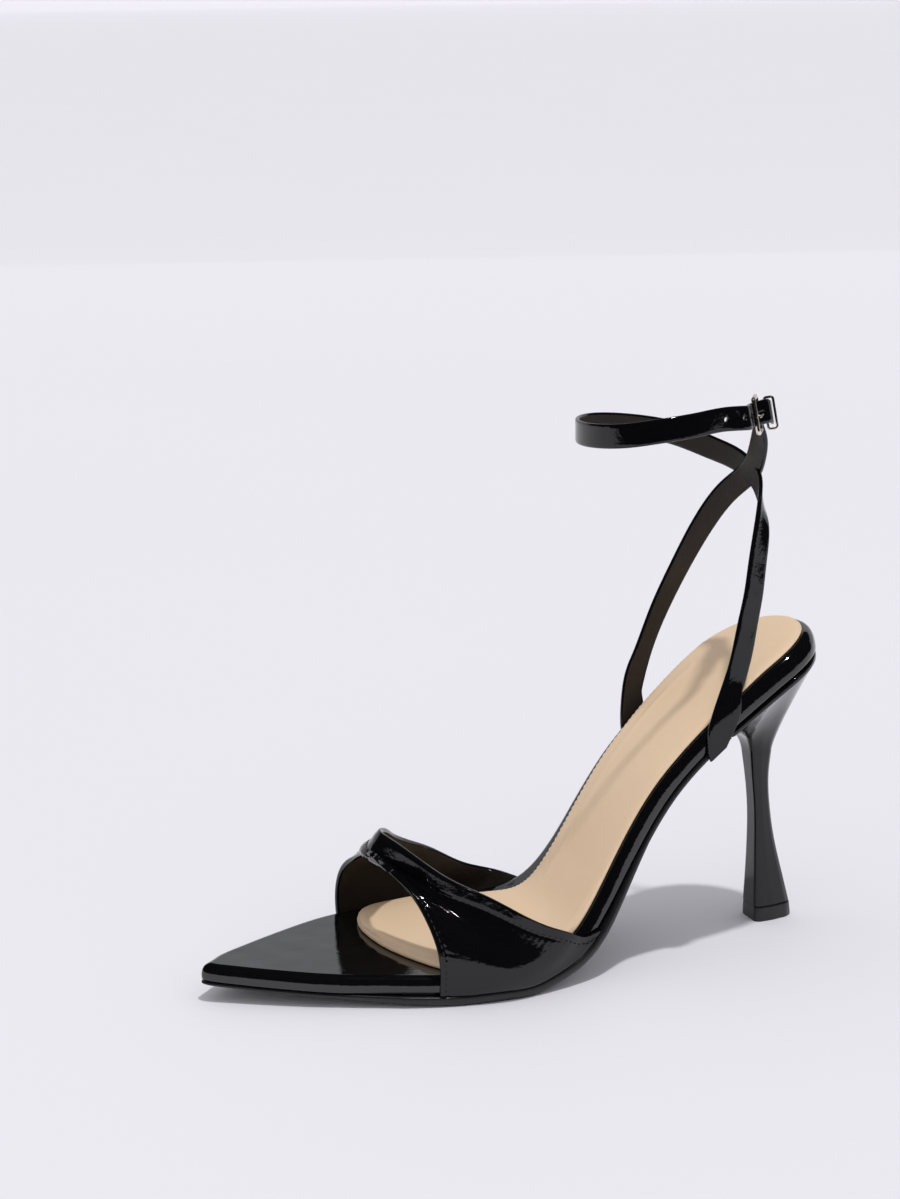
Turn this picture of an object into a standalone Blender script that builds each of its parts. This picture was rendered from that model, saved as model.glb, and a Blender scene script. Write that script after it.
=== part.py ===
"""A strappy heeled sandal for the left foot, worked out from its sizes as a maker cuts and lasts it.

Metres, +Z up, toe towards -Y, outer side of the foot towards +X. The origin is on the floor, in the
middle of the tread, which is the flat spot of the sole under the ball of the foot.

The sole, board and sock are flat patterns bent over the bottom of the last. A place on them has a
station s, the distance along the last's bottom from the tread, a place x across it and a level above
it. The vamp is a wall between a front and a back edge that sit on the last, and the straps are ribbons
between two edges. Tables hold shares of the sizes named in their headings.
"""

import math

import bmesh
import bpy
import numpy as np

# Last and sole
TREAD_TO_TOE = 0.0950
TREAD_TO_HEEL = 0.1325
BALL_WIDTH = 0.081
WAIST_WIDTH = 0.0453
SEAT_WIDTH = 0.0513
SEAT_HEIGHT = 0.1108
TOE_SPRING = 0.0037
BOARD_THICKNESS = 0.0065
SEAT_THICKNESS = 0.008
OUTSOLE_THICKNESS = 0.0037
WAIST_SOLE_THICKNESS = 0.0023
OUTSOLE_FLANGE = 0.0019
SOCK_THICKNESS = 0.0033
SEAT_SOCK_THICKNESS = 0.0016
SOCK_MARGIN = 0.0034
SOCK_OUTER_MARGIN = 0.0022
SOCK_FRONT = 0.0335

# Heel
HEEL_SEAT_LENGTH = 0.0445
HEEL_BREAST = TREAD_TO_HEEL - HEEL_SEAT_LENGTH
HEEL_TIP_WIDTH = 0.0124
HEEL_TIP_DEPTH = 0.0152
HEEL_TIP_SETBACK = 0.0223
HEEL_TIP_BREAST = TREAD_TO_HEEL - HEEL_TIP_SETBACK
TOP_PIECE_HEIGHT = 0.0055
HEEL_STEM_HEIGHT = 0.063
HEEL_COVER_EDGE = 0.0022
HEEL_COVER_INSET = 0.0007

# Vamp
VAMP_FRONT = 0.034
VAMP_BACK = 0.0373
INSTEP_HEIGHT = 0.0492
LEATHER = 0.0016
VAMP_SWELL = 0.022
VAMP_CROWN = 0.0048

# Straps and buckle
STRAP_WIDTH = 0.0084
STRAP_THICKNESS = 0.0015
ANKLE_WIDTH = 0.054
ANKLE_LENGTH = 0.066
ANKLE_SETBACK = 0.0555
ANKLE_CENTRE = TREAD_TO_HEEL - ANKLE_SETBACK
ANKLE_HEIGHT = 0.082
BUCKLE_LENGTH = 0.0086
BUCKLE_HEIGHT = 0.0134
BUCKLE_ROD = 0.0016
PRONG_ROD = 0.0012
KEEPER_ROD = 0.0009

GAP = 0.0003

# Outline of the board: run (below 0 a share of TREAD_TO_TOE, above 0 of TREAD_TO_HEEL), the width it
# follows, and how far the outer and the inner edge lie from the axis as shares of that width
WIDTHS = {"ball": BALL_WIDTH, "waist": WAIST_WIDTH, "seat": SEAT_WIDTH}
OUTLINE = (
    (-1.000, "ball", 0.015, -0.015),
    (-0.975, "ball", 0.055, 0.027),
    (-0.923, "ball", 0.096, 0.092),
    (-0.856, "ball", 0.144, 0.153),
    (-0.733, "ball", 0.227, 0.250),
    (-0.591, "ball", 0.312, 0.352),
    (-0.419, "ball", 0.383, 0.451),
    (-0.209, "ball", 0.464, 0.503),
    (0.000, "ball", 0.494, 0.509),
    (0.113, "ball", 0.479, 0.470),
    (0.204, "ball", 0.447, 0.392),
    (0.302, "ball", 0.407, 0.290),
    (0.415, "waist", 0.669, 0.440),
    (0.566, "waist", 0.660, 0.446),
    (0.717, "seat", 0.565, 0.456),
    (0.823, "seat", 0.524, 0.480),
    (0.898, "seat", 0.470, 0.415),
    (0.951, "seat", 0.362, 0.302),
    (0.986, "seat", 0.205, 0.160),
    (1.000, "seat", 0.000, 0.000),
)
# Bottom of the last ahead of the tread: share of TREAD_TO_TOE, share of TOE_SPRING
SPRING = ((1.00, 1.00), (0.80, 0.68), (0.57, 0.37), (0.32, 0.10), (0.13, 0.0))
# Bottom of the last behind the tread: share of TREAD_TO_HEEL, share of the rise to the heel seat
RISE = (
    (0.068, 0.001),
    (0.140, 0.025),
    (0.263, 0.115),
    (0.374, 0.328),
    (0.477, 0.540),
    (0.580, 0.686),
    (0.682, 0.788),
    (0.784, 0.873),
    (0.889, 0.950),
    (0.943, 0.980),
    (1.000, 1.000),
)
# Sides of the board from its foot to its top: inset in board thicknesses, share of the thickness
BOARD_SIDE = ((0.12, 0.04), (0.04, 0.10), (0.0, 0.24), (0.0, 0.48), (0.06, 0.73), (0.20, 0.91), (0.44, 1.0))
# Sides of the outsole from its foot to its top: inset and depth in outsole thicknesses
OUTSOLE_SIDE = ((0.60, 1.0), (0.26, 0.90), (0.06, 0.66), (0.0, 0.30), (0.06, 0.0))
# Sides of the sock: inset and share of its thickness
SOCK_SIDE = ((0.12, 0.0), (0.0, 0.26), (0.22, 0.70), (0.95, 1.0))
# Front of the sock: distance behind its nose as a share of SOCK_FRONT, then how far its outer and inner
# edge have spread from the nose to the sock's full width, and the nose's place as a share of BALL_WIDTH
SOCK_NOSE = (
    (0.0, 0.0, 0.0),
    (0.015, 0.17, 0.26),
    (0.05, 0.34, 0.48),
    (0.10, 0.47, 0.64),
    (0.167, 0.60, 0.77),
    (0.25, 0.72, 0.84),
    (0.33, 0.82, 0.875),
    (0.43, 0.91, 0.89),
    (0.56, 0.98, 0.90),
    (1.0, 1.0, 0.94),
    (1.7, 1.0, 1.0),
)
SOCK_NOSE_AT = -0.165
# How far the sock's inner edge keeps further off the arch: share of TREAD_TO_HEEL, share of WAIST_WIDTH
SOCK_ARCH = (
    (-0.02, 0.0),
    (0.10, 0.10),
    (0.20, 0.19),
    (0.26, 0.175),
    (0.33, 0.10),
    (0.42, 0.06),
    (0.55, 0.03),
    (0.72, 0.0),
)
# Heel up to the stem: share of HEEL_STEM_HEIGHT, breast and back as shares of HEEL_TIP_DEPTH behind the
# breast of the tip, width as a share of HEEL_TIP_WIDTH
HEEL_SECTIONS = (
    (0.095, 0.00, 0.985, 0.96),
    (0.24, 0.02, 0.84, 0.83),
    (0.45, 0.04, 0.63, 0.68),
    (0.68, 0.03, 0.485, 0.61),
    (0.87, -0.04, 0.45, 0.65),
    (1.00, -0.10, 0.50, 0.78),
)
# Facets of the heel from its breast to its back: share of the depth, share of the half width
HEEL_FACETS = ((0.0, 0.80), (0.10, 1.0), (0.45, 0.97), (0.84, 0.76), (1.0, 0.46))
# Edges of the vamp from the outer to the inner side of the foot: across as a share of half of
# BALL_WIDTH, along as a share of VAMP_FRONT below 0 and VAMP_BACK above, height as a share of INSTEP_HEIGHT
VAMP_FRONT_EDGE = (
    (0.930, -0.676, 0.350),
    (0.805, -0.744, 0.579),
    (0.607, -0.841, 0.748),
    (0.363, -0.935, 0.839),
    (0.050, -0.971, 0.850),
    (-0.247, -0.965, 0.803),
    (-0.543, -0.971, 0.703),
    (-0.812, -1.003, 0.561),
    (-0.962, -1.015, 0.325),
)
VAMP_BACK_EDGE = (
    (0.919, 0.790, 0.352),
    (0.975, 0.670, 0.400),
    (1.000, 0.442, 0.480),
    (0.975, 0.147, 0.606),
    (0.877, -0.112, 0.720),
    (0.691, -0.397, 0.811),
    (0.346, -0.638, 0.917),
    (0.074, -0.765, 0.978),
    (-0.123, -0.818, 1.000),
    (-0.356, -0.676, 0.945),
    (-0.583, -0.500, 0.833),
    (-0.798, -0.232, 0.705),
    (-0.963, 0.105, 0.565),
    (-0.962, 0.424, 0.425),
    (-0.880, 0.713, 0.366),
)
VAMP_FEET = {"outer": (-0.676, 1.0), "inner": (-1.0, 0.946)}
# Foot of each strap on the side of the board: level in board thicknesses, then the places of its front
# and back edge from ANKLE_CENTRE as shares of half of ANKLE_LENGTH
OUTER_ROOT = ((-0.30, 0.044, 0.236), (0.10, 0.068, 0.365), (0.50, 0.108, 0.477), (1.15, 0.192, 0.566))
INNER_ROOT = ((-0.30, -0.215, 0.020), (0.40, -0.170, 0.100), (0.95, -0.115, 0.150))
# Long strap above its foot: across as a share of half of ANKLE_WIDTH, along from ANKLE_CENTRE as a share
# of half of ANKLE_LENGTH, height above the seat as a share of ANKLE_HEIGHT, facing in degrees from +X
LONG_STRAP = (
    (1.048, 0.379, -0.169, 3),
    (1.030, 0.485, -0.035, 6),
    (1.000, 0.560, 0.087, 10),
    (0.963, 0.636, 0.203, 14),
    (0.889, 0.706, 0.319, 17),
    (0.790, 0.788, 0.436, 22),
    (0.650, 0.858, 0.522, 36),
    (0.430, 0.925, 0.585, 66),
    (0.111, 1.000, 0.636, 92),
    (-0.296, 0.939, 0.698, 112),
    (-0.630, 0.773, 0.737, 136),
    (-0.907, 0.430, 0.798, 159),
    (-1.000, 0.076, 0.831, 177),
    (-0.974, -0.333, 0.855, 193),
    (-0.778, -0.640, 0.868, 218),
    (-0.407, -0.862, 0.875, 245),
    (0.000, -0.935, 0.880, 270),
    (0.407, -0.885, 0.889, 296),
    (0.759, -0.700, 0.904, 324),
    (0.952, -0.424, 0.923, 345),
    (1.010, -0.030, 0.941, 0),
    (0.985, 0.300, 0.953, 14),
)
SHORT_STRAP = (
    (-0.840, -0.073, -0.300, 186),
    (-0.852, 0.030, -0.177, 196),
    (-0.833, 0.227, 0.020, 196),
    (-0.759, 0.455, 0.218, 188),
    (-0.593, 0.703, 0.429, 168),
    (-0.385, 0.885, 0.561, 146),
    (-0.080, 1.000, 0.653, 124),
    (0.170, 0.985, 0.738, 112),
)
# Buckle: its middle as shares in the same columns, its facing and how far its top leans inwards
BUCKLE_AT = (0.611, 0.803, 0.939)
BUCKLE_FACING = 58
BUCKLE_LEAN = 10
# Ways of the strap ends at the buckle: along and up as shares of half of BUCKLE_LENGTH, and outwards as
# shares of BUCKLE_ROD, measured from its middle towards the front of the shoe, then the facing
LONG_END = (
    (1.95, 0.17, -1.05, 58),
    (0.95, 0.12, -1.12, 58),
    (0.10, 0.10, 0.15, 58),
    (-0.95, 0.04, 2.10, 58),
    (-1.95, -0.26, 2.35, 58),
)
SHORT_END = (
    (-2.60, -2.25, -1.1, 96),
    (-2.15, -0.95, -0.5, 76),
    (-1.55, -0.12, -0.20, 60),
    (-0.72, 0.0, 0.0, 58),
)


def spline(knots, values):
    """A smooth curve through values at knots: a natural cubic spline, for single values or points."""
    knots = np.asarray(knots, float)
    values = np.asarray(values, float)
    rows = values.reshape(len(knots), -1)
    steps = np.diff(knots)
    slopes = np.diff(rows, axis=0) / steps[:, None]
    system = np.eye(len(knots))
    right = np.zeros_like(rows)
    for i in range(1, len(knots) - 1):
        system[i, i - 1 : i + 2] = steps[i - 1], 2 * (steps[i - 1] + steps[i]), steps[i]
        right[i] = 6 * (slopes[i] - slopes[i - 1])
    bends = np.linalg.solve(system, right)

    def at(where):
        where = np.asarray(where, float)
        i = np.clip(np.searchsorted(knots, where) - 1, 0, len(knots) - 2)
        step = steps[i][..., None]
        left = (knots[i + 1] - where)[..., None] / step
        rest = 1 - left
        curve = (left**3 - left) * bends[i] + (rest**3 - rest) * bends[i + 1]
        found = left * rows[i] + rest * rows[i + 1] + curve * step**2 / 6
        return found.reshape(where.shape + values.shape[1:])

    return at


def along(points, count):
    """The given number of points, evenly spread on a smooth curve through points."""
    points = np.asarray(points, float)
    reach = np.concatenate([[0], np.cumsum(np.linalg.norm(np.diff(points, axis=0), axis=1))])
    curve = spline(reach, points)
    return curve(np.linspace(0, reach[-1], count))


def unit(vectors):
    return vectors / np.linalg.norm(vectors, axis=-1, keepdims=True)


def run_to_y(run):
    return run * (TREAD_TO_TOE if run < 0 else TREAD_TO_HEEL)


# Bottom of the last

FEATHER_RISE = SEAT_HEIGHT - SEAT_THICKNESS - OUTSOLE_THICKNESS
PROFILE = spline(
    [-TREAD_TO_TOE * run for run, _ in SPRING] + [0] + [TREAD_TO_HEEL * run for run, _ in RISE],
    [TOE_SPRING * lift for _, lift in SPRING] + [0] + [FEATHER_RISE * lift for _, lift in RISE],
)
SAMPLES_Y = np.linspace(-1.05 * TREAD_TO_TOE, 1.05 * TREAD_TO_HEEL, 1200)
SAMPLES_Z = OUTSOLE_THICKNESS - GAP + PROFILE(SAMPLES_Y)
SAMPLES_SLOPE = np.arctan2(np.gradient(SAMPLES_Z), np.gradient(SAMPLES_Y))
SAMPLES_S = np.concatenate([[0], np.cumsum(np.hypot(np.diff(SAMPLES_Y), np.diff(SAMPLES_Z)))])
SAMPLES_S -= np.interp(0, SAMPLES_Y, SAMPLES_S)


def station(y):
    """Distance along the last's bottom from the tread to the place at y."""
    return np.interp(y, SAMPLES_Y, SAMPLES_S)


def bent(flat, level):
    """Places (s, x) of a flat pattern on the bent last, at a level above its bottom."""
    flat = np.asarray(flat, float)
    y = np.interp(flat[..., 0], SAMPLES_S, SAMPLES_Y)
    z = np.interp(flat[..., 0], SAMPLES_S, SAMPLES_Z)
    slope = np.interp(flat[..., 0], SAMPLES_S, SAMPLES_SLOPE)
    level = np.broadcast_to(level, y.shape)
    return np.stack([flat[..., 1], y - level * np.sin(slope), z + level * np.cos(slope)], axis=-1)


def board_thickness(s):
    """Thickness of the board: thinner at the toe and up the waist, full at the ball and the seat."""
    ahead = [station(-TREAD_TO_TOE), station(-0.4 * TREAD_TO_TOE), 0]
    behind = [station(share * TREAD_TO_HEEL) for share in (0.35, 0.55, 0.8, 1.0)]
    seat = SEAT_THICKNESS / BOARD_THICKNESS
    return BOARD_THICKNESS * np.interp(s, ahead + behind, [0.94, 0.98, 1.0, 0.96, 0.96, seat, seat])


def outsole_thickness(s):
    """Thickness of the outsole: fullest at the tread, thin at the toe and up the waist."""
    ahead = [station(-share * TREAD_TO_TOE) for share in (1.0, 0.6, 0.2)]
    behind = [station(share * TREAD_TO_HEEL) for share in (0.2, 0.42)]
    full = OUTSOLE_THICKNESS
    return np.interp(s, ahead + behind, [0.36 * full, 0.55 * full, full, full, WAIST_SOLE_THICKNESS])


# Outline of the board

OUTER_SIDE = [(station(run_to_y(run)), outer * WIDTHS[width]) for run, width, outer, _ in OUTLINE]
INNER_SIDE = [(station(run_to_y(run)), -inner * WIDTHS[width]) for run, width, _, inner in OUTLINE]


def closed_outline(count):
    """Points of the board's outline at even distances: outer side toe to heel, then the inner side back."""
    loop = np.array(OUTER_SIDE + INNER_SIDE[-2:0:-1])
    wrap = 5
    points = np.concatenate([loop[-wrap:], loop, loop[: wrap + 1]])
    reach = np.concatenate([[0], np.cumsum(np.linalg.norm(np.diff(points, axis=0), axis=1))])
    curve = spline(reach, points)
    toe, heel, again = reach[wrap], reach[wrap + len(OUTER_SIDE) - 1], reach[wrap + len(loop)]
    return curve, toe, heel, again


def paired_sides(count, inset=0.0, start=None, stop=None, even=True):
    """Outer and inner edge of the board's pattern as matched points, moved in by inset.

    start and stop cut the pattern straight across at two stations, which may be left out. Points
    gather at an end that isn't cut, and with even off at both ends.
    """
    curve, toe, heel, again = closed_outline(count)
    spread = (1 - np.cos(np.linspace(0, math.pi, 400))) / 2
    sides = []
    for first, last, turn in ((toe, heel, 1), (again, heel, -1)):
        where = first + (last - first) * spread
        step = 1e-5
        tangent = unit(curve(where + step) - curve(where - step))
        inward = np.stack([-tangent[:, 1], tangent[:, 0]], axis=-1)
        inward *= np.sign(np.mean(-turn * inward[:, 1]))
        sides.append(curve(where) + np.reshape(inset, (-1, 1)) * inward)
    low = max(side[0, 0] for side in sides) if start is None else start
    high = min(side[-1, 0] for side in sides) if stop is None else stop
    round_start = start is None
    round_stop = stop is None
    share = np.linspace(0, 1, count)
    if round_start and round_stop or not even:
        share = (1 - np.cos(math.pi * share)) / 2
    elif round_start:
        share = 1 - np.cos(math.pi / 2 * share)
    elif round_stop:
        share = np.sin(math.pi / 2 * share)
    stations = low + (high - low) * share
    outer, inner = (np.interp(stations, side[:, 0], side[:, 1]) for side in sides)
    if round_start:
        outer[0] = inner[0] = (outer[0] + inner[0]) / 2
    if round_stop:
        outer[-1] = inner[-1] = (outer[-1] + inner[-1]) / 2
    return np.stack([stations, outer], axis=-1), np.stack([stations, inner], axis=-1)


def across(sides, columns):
    """A grid of flat places between the two edges, with the given number of columns."""
    outer, inner = sides
    share = np.linspace(0, 1, columns)[None, :, None]
    return inner[:, None] * (1 - share) + outer[:, None] * share


def edge_at(y, side):
    """Place across of the board's edge at a station given by its y."""
    outer, inner = paired_sides(240)
    edge = outer if side > 0 else inner
    return np.interp(station(y), edge[:, 0], edge[:, 1])


# Mesh making


def stack(name, grids, colour, roughness, metallic=0.0):
    """A closed solid from grids of points laid over one another: the first and last close it, and the
    edges of neighbouring grids are joined by walls."""
    rows, columns = grids[0].shape[:2]
    border = [(0, i) for i in range(columns - 1)] + [(k, columns - 1) for k in range(rows - 1)]
    border += [(rows - 1, i) for i in range(columns - 1, 0, -1)] + [(k, 0) for k in range(rows - 1, 0, -1)]
    mesh = bmesh.new()
    rims = []
    for number, grid in enumerate(grids):
        if number in (0, len(grids) - 1):
            points = [[mesh.verts.new(grid[k, i]) for i in range(columns)] for k in range(rows)]
            for k in range(rows - 1):
                for i in range(columns - 1):
                    mesh.faces.new((points[k][i], points[k][i + 1], points[k + 1][i + 1], points[k + 1][i]))
            rims.append([points[k][i] for k, i in border])
        else:
            rims.append([mesh.verts.new(grid[k, i]) for k, i in border])
    for lower, upper in zip(rims, rims[1:]):
        for j in range(len(border)):
            after = (j + 1) % len(border)
            mesh.faces.new((lower[j], lower[after], upper[after], upper[j]))
    bmesh.ops.remove_doubles(mesh, verts=mesh.verts, dist=2e-6)
    bmesh.ops.dissolve_degenerate(mesh, dist=1e-6, edges=mesh.edges)
    bmesh.ops.recalc_face_normals(mesh, faces=mesh.faces)
    return finish(name, mesh, colour, roughness, metallic)


def finish(name, mesh, colour, roughness, metallic):
    data = bpy.data.meshes.new(name)
    mesh.to_mesh(data)
    mesh.free()
    data.shade_smooth()
    data.set_sharp_from_angle(angle=math.radians(40))
    made = bpy.data.objects.new(name, data)
    bpy.context.scene.collection.objects.link(made)
    material = bpy.data.materials.new(name)
    material.use_nodes = True
    shader = material.node_tree.nodes["Principled BSDF"]
    shader.inputs["Base Color"].default_value = (*colour, 1.0)
    shader.inputs["Roughness"].default_value = roughness
    shader.inputs["Metallic"].default_value = metallic
    data.materials.append(material)
    return made


def rod_ring(name, path, rod, facing, colour, sides=8):
    """A closed rod of round section along a path of corner points, its ends joined."""
    path = np.asarray(path, float)
    before = np.roll(path, 1, axis=0)
    after = np.roll(path, -1, axis=0)
    tangent = unit(unit(path - before) + unit(after - path))
    side = unit(np.cross(tangent, facing))
    turn = 2 * math.pi * (np.arange(sides) + 0.5) / sides
    cut = rod / 2 * (np.cos(turn)[None, :, None] * side[:, None] + np.sin(turn)[None, :, None] * facing)
    points = path[:, None] + cut
    mesh = bmesh.new()
    rings = [[mesh.verts.new(point) for point in ring] for ring in points]
    for ring, following in zip(rings, rings[1:] + rings[:1]):
        for j in range(sides):
            mesh.faces.new((ring[j], ring[(j + 1) % sides], following[(j + 1) % sides], following[j]))
    bmesh.ops.recalc_face_normals(mesh, faces=mesh.faces)
    return finish(name, mesh, colour, 0.2, 1.0)


def cutter(mesh_name, place, size, axes):
    """A box, or with one size a round bar, that takes material away and isn't part of the shoe."""
    mesh = bmesh.new()
    if len(size) == 3:
        bmesh.ops.create_cube(mesh, size=1.0)
        scale = np.array(size)
    else:
        bmesh.ops.create_cone(mesh, cap_ends=True, segments=16, radius1=size[0], radius2=size[0], depth=size[1])
        scale = np.ones(3)
    for vertex in mesh.verts:
        local = np.array(vertex.co) * scale
        vertex.co = place + local @ axes
    bmesh.ops.recalc_face_normals(mesh, faces=mesh.faces)
    made = finish(mesh_name, mesh, (1, 0, 0), 0.5, 0.0)
    made.hide_render = True
    made.display_type = "WIRE"
    return made


def combine(made, other, operation):
    modifier = made.modifiers.new(other.name, "BOOLEAN")
    modifier.operation = operation
    modifier.solver = "EXACT"
    modifier.object = other


PATENT = (0.012, 0.012, 0.014)
TAN = (0.72, 0.53, 0.38)
GOLD = (0.83, 0.74, 0.56)


# Pieces of the bottom


def make_board():
    """The arched platform: the outline carried along the last, with sides that round over at the top."""
    grids = []
    for inset, share in BOARD_SIDE:
        flat = across(paired_sides(52, inset * BOARD_THICKNESS), 7)
        grids.append(bent(flat, board_thickness(flat[..., 0]) * share))
    return stack("insole_board", grids, PATENT, 0.15)


def make_outsole():
    """The thin sole: under the board from the toe to the heel breast, wider where the vamp stands on it."""
    stop = station(HEEL_BREAST) - 2 * GAP
    flange_reach = [station(-1.6 * VAMP_FRONT), station(-VAMP_FRONT), station(VAMP_BACK), station(1.5 * VAMP_BACK)]
    grids = []
    for inset, depth in OUTSOLE_SIDE:
        thickness = outsole_thickness(0)
        outer, inner = paired_sides(46, inset * thickness, stop=stop)
        for edge, outward in ((outer, 1), (inner, -1)):
            flange = np.interp(edge[:, 0], flange_reach, [-0.2, 1.0, 1.0, 0.1]) * OUTSOLE_FLANGE
            ends = np.clip((edge[:, 0] - edge[0, 0]) / (4 * OUTSOLE_FLANGE), 0, 1)
            edge[:, 1] += outward * flange * ends
        flat = across((outer, inner), 7)
        points = bent(flat, -outsole_thickness(flat[..., 0]) * depth)
        points[..., 2] = np.maximum(points[..., 2], 0)
        grids.append(points)
    return stack("outsole", grids, (0.02, 0.02, 0.022), 0.35)


def sock_thickness(s):
    return np.interp(s, [station(0.1 * TREAD_TO_HEEL), station(0.35 * TREAD_TO_HEEL)], [SOCK_THICKNESS, SEAT_SOCK_THICKNESS])


def sock_sides(count, move):
    """The sock's two edges moved in by a distance, from the nose under the toes to the back of the seat."""
    start = station(-SOCK_FRONT) + move
    outer, inner = paired_sides(count, SOCK_MARGIN + move, start=start, even=False)
    closeness = np.clip((outer[-1, 0] - outer[:, 0]) / station(0.3 * TREAD_TO_HEEL), 0, 1)
    outer[:, 1] += (SOCK_MARGIN - SOCK_OUTER_MARGIN) * np.sin(math.pi / 2 * closeness)
    reach = [station(run_to_y(run)) for run, _ in SOCK_ARCH]
    arch = spline(reach, [share for _, share in SOCK_ARCH])
    inner[:, 1] += WAIST_WIDTH * arch(np.clip(inner[:, 0], reach[0], reach[-1]))
    behind = (outer[:, 0] - start) / SOCK_FRONT
    nose = SOCK_NOSE_AT * BALL_WIDTH
    for edge, column in ((outer, 1), (inner, 2)):
        spread = np.interp(behind, [row[0] for row in SOCK_NOSE], [row[column] for row in SOCK_NOSE])
        edge[:, 1] = nose + (edge[:, 1] - nose) * spread
    return outer, inner


def make_sock():
    """The padded sock: inside the board's outline by a margin, with a rounded nose under the toes."""
    grids = []
    for inset, share in SOCK_SIDE:
        flat = across(sock_sides(52, inset * SOCK_THICKNESS), 7)
        level = board_thickness(flat[..., 0]) + GAP + sock_thickness(flat[..., 0]) * share
        grids.append(bent(flat, level))
    return stack("insole_sock", grids, TAN, 0.6)


# Heel


def heel_section(height, breast, back, width):
    """One level section of the heel, from its flat breast by two facets a side to its narrow back."""
    share = np.interp(np.linspace(0, 1, 17), np.linspace(0, 1, len(HEEL_FACETS)), [f[0] for f in HEEL_FACETS])
    half = np.interp(share, [f[0] for f in HEEL_FACETS], [f[1] for f in HEEL_FACETS]) * width / 2
    y = breast + (back - breast) * share
    columns = np.linspace(-1, 1, 9)
    grid = np.empty((len(share), len(columns), 3))
    grid[..., 0] = half[:, None] * columns
    grid[..., 1] = y[:, None]
    grid[..., 2] = height
    return grid


def make_heel():
    """The flared heel: level facetted sections up the stem, then quarter-bow curves out to the seat."""
    table = np.array(HEEL_SECTIONS)
    reach = spline(table[:, 0], table[:, 1:])
    grids = []
    foot = (TOP_PIECE_HEIGHT + GAP) / HEEL_STEM_HEIGHT
    for share in np.linspace(foot, 1, 12):
        breast, back, width = reach(share)
        grids.append(
            heel_section(
                share * HEEL_STEM_HEIGHT,
                HEEL_TIP_BREAST + breast * HEEL_TIP_DEPTH,
                HEEL_TIP_BREAST + back * HEEL_TIP_DEPTH,
                width * HEEL_TIP_WIDTH,
            )
        )
    stem = grids[-1]
    rows, columns = stem.shape[:2]
    flat = across(paired_sides(rows, HEEL_COVER_INSET, start=station(HEEL_BREAST)), columns)
    rim = bent(flat, -HEEL_COVER_EDGE)
    rise = rim[..., 2].mean() - HEEL_STEM_HEIGHT
    back = (stem[..., 1] - stem[..., 1].min()) / np.ptp(stem[..., 1])
    bow = stem + rise * np.stack([0 * back, -0.06 + 0.06 * back, 0.42 - 0.24 * back], axis=-1)
    for t in np.linspace(0, 1, 11)[1:]:
        grids.append((1 - t) ** 2 * stem + 2 * t * (1 - t) * bow + t**2 * rim)
    grids.append(bent(flat, -GAP))
    return stack("heel", grids, PATENT, 0.12)


def make_top_piece():
    """The hard lift under the heel: the heel's own foot section, a little wider on the floor."""
    section = HEEL_SECTIONS[0]
    grids = []
    for height, spread in ((0, 1.0), (0.92 * TOP_PIECE_HEIGHT, 0.97), (TOP_PIECE_HEIGHT, 0.95)):
        back = HEEL_TIP_BREAST + section[2] * HEEL_TIP_DEPTH * (1.05 * spread)
        grids.append(heel_section(height, HEEL_TIP_BREAST, back, HEEL_TIP_WIDTH * spread))
    return stack("heel_top_piece", grids, (0.02, 0.02, 0.02), 0.4)


# Vamp


def vamp_point(row):
    across_share, along_share, height_share = row
    length = VAMP_FRONT if along_share < 0 else VAMP_BACK
    return (across_share * BALL_WIDTH / 2, along_share * length, height_share * INSTEP_HEIGHT)


def foot_line(side, count):
    """The line where the vamp's wall stands on the outsole, beside the board, front to back."""
    first, last = VAMP_FEET["outer" if side > 0 else "inner"]
    y = np.linspace(first * VAMP_FRONT, last * VAMP_BACK, count)
    x = np.array([edge_at(value, side) for value in y]) + side * (GAP + LEATHER / 2)
    return bent(np.stack([station(y), x], axis=-1), 2 * GAP)


def make_vamp():
    """The wall of the vamp, a blend between its two edges and the two lines where it meets the sole.

    Between the edges it is carried from one to the other, plus what the foot lines bow out of the
    straight, plus a swell that grows with the distance between the edges, plus a crown at the instep.
    """
    columns, rows = 41, 13
    outer_foot = foot_line(1, rows)
    inner_foot = foot_line(-1, rows)
    front = along([outer_foot[0]] + [vamp_point(row) for row in VAMP_FRONT_EDGE] + [inner_foot[0]], columns)
    back = along([outer_foot[-1]] + [vamp_point(row) for row in VAMP_BACK_EDGE] + [inner_foot[-1]], columns)
    v = np.linspace(0, 1, rows)[:, None, None]
    u = np.linspace(0, 1, columns)[None, :, None]
    ruled = (1 - v) * front + v * back
    feet = (1 - u) * outer_foot[:, None] + u * inner_foot[:, None]
    corners = (1 - v) * ((1 - u) * front[0] + u * front[-1]) + v * ((1 - u) * back[0] + u * back[-1])
    middle = ruled + feet - corners
    spread = np.linalg.norm(back - front, axis=1)[None, :, None]
    crown = VAMP_CROWN * np.exp(-(((u - 0.60) / 0.11) ** 2)) * (0.7 + 0.6 * v)
    swell = (VAMP_SWELL * spread + 0.5 * LEATHER) * 4 * v * (1 - v)
    swell = (swell + crown * np.sin(math.pi * v) ** 0.6) * np.sin(math.pi * u) ** 0.5
    outward = unit(np.cross(np.gradient(middle, axis=0), np.gradient(middle, axis=1)))
    centre = np.array([0.0, 0.0, 0.2 * INSTEP_HEIGHT])
    outward *= np.sign(np.sum(outward * (middle - centre), axis=-1, keepdims=True))
    middle = middle + swell * outward
    grids = []
    for level, inset in ((-0.5, 0.3), (-0.25, 0.0), (0.25, 0.0), (0.5, 0.3)):
        grid = middle + level * LEATHER * outward
        move = inset * LEATHER
        lengths = np.maximum(np.linalg.norm(back - front, axis=1), 4 * move)[None, :, None]
        grid = grid + (move / lengths) * (1 - 2 * v) * (back - front)[None]
        grids.append(grid)
    return stack("vamp", grids, PATENT, 0.12)


# Straps and buckle


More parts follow.
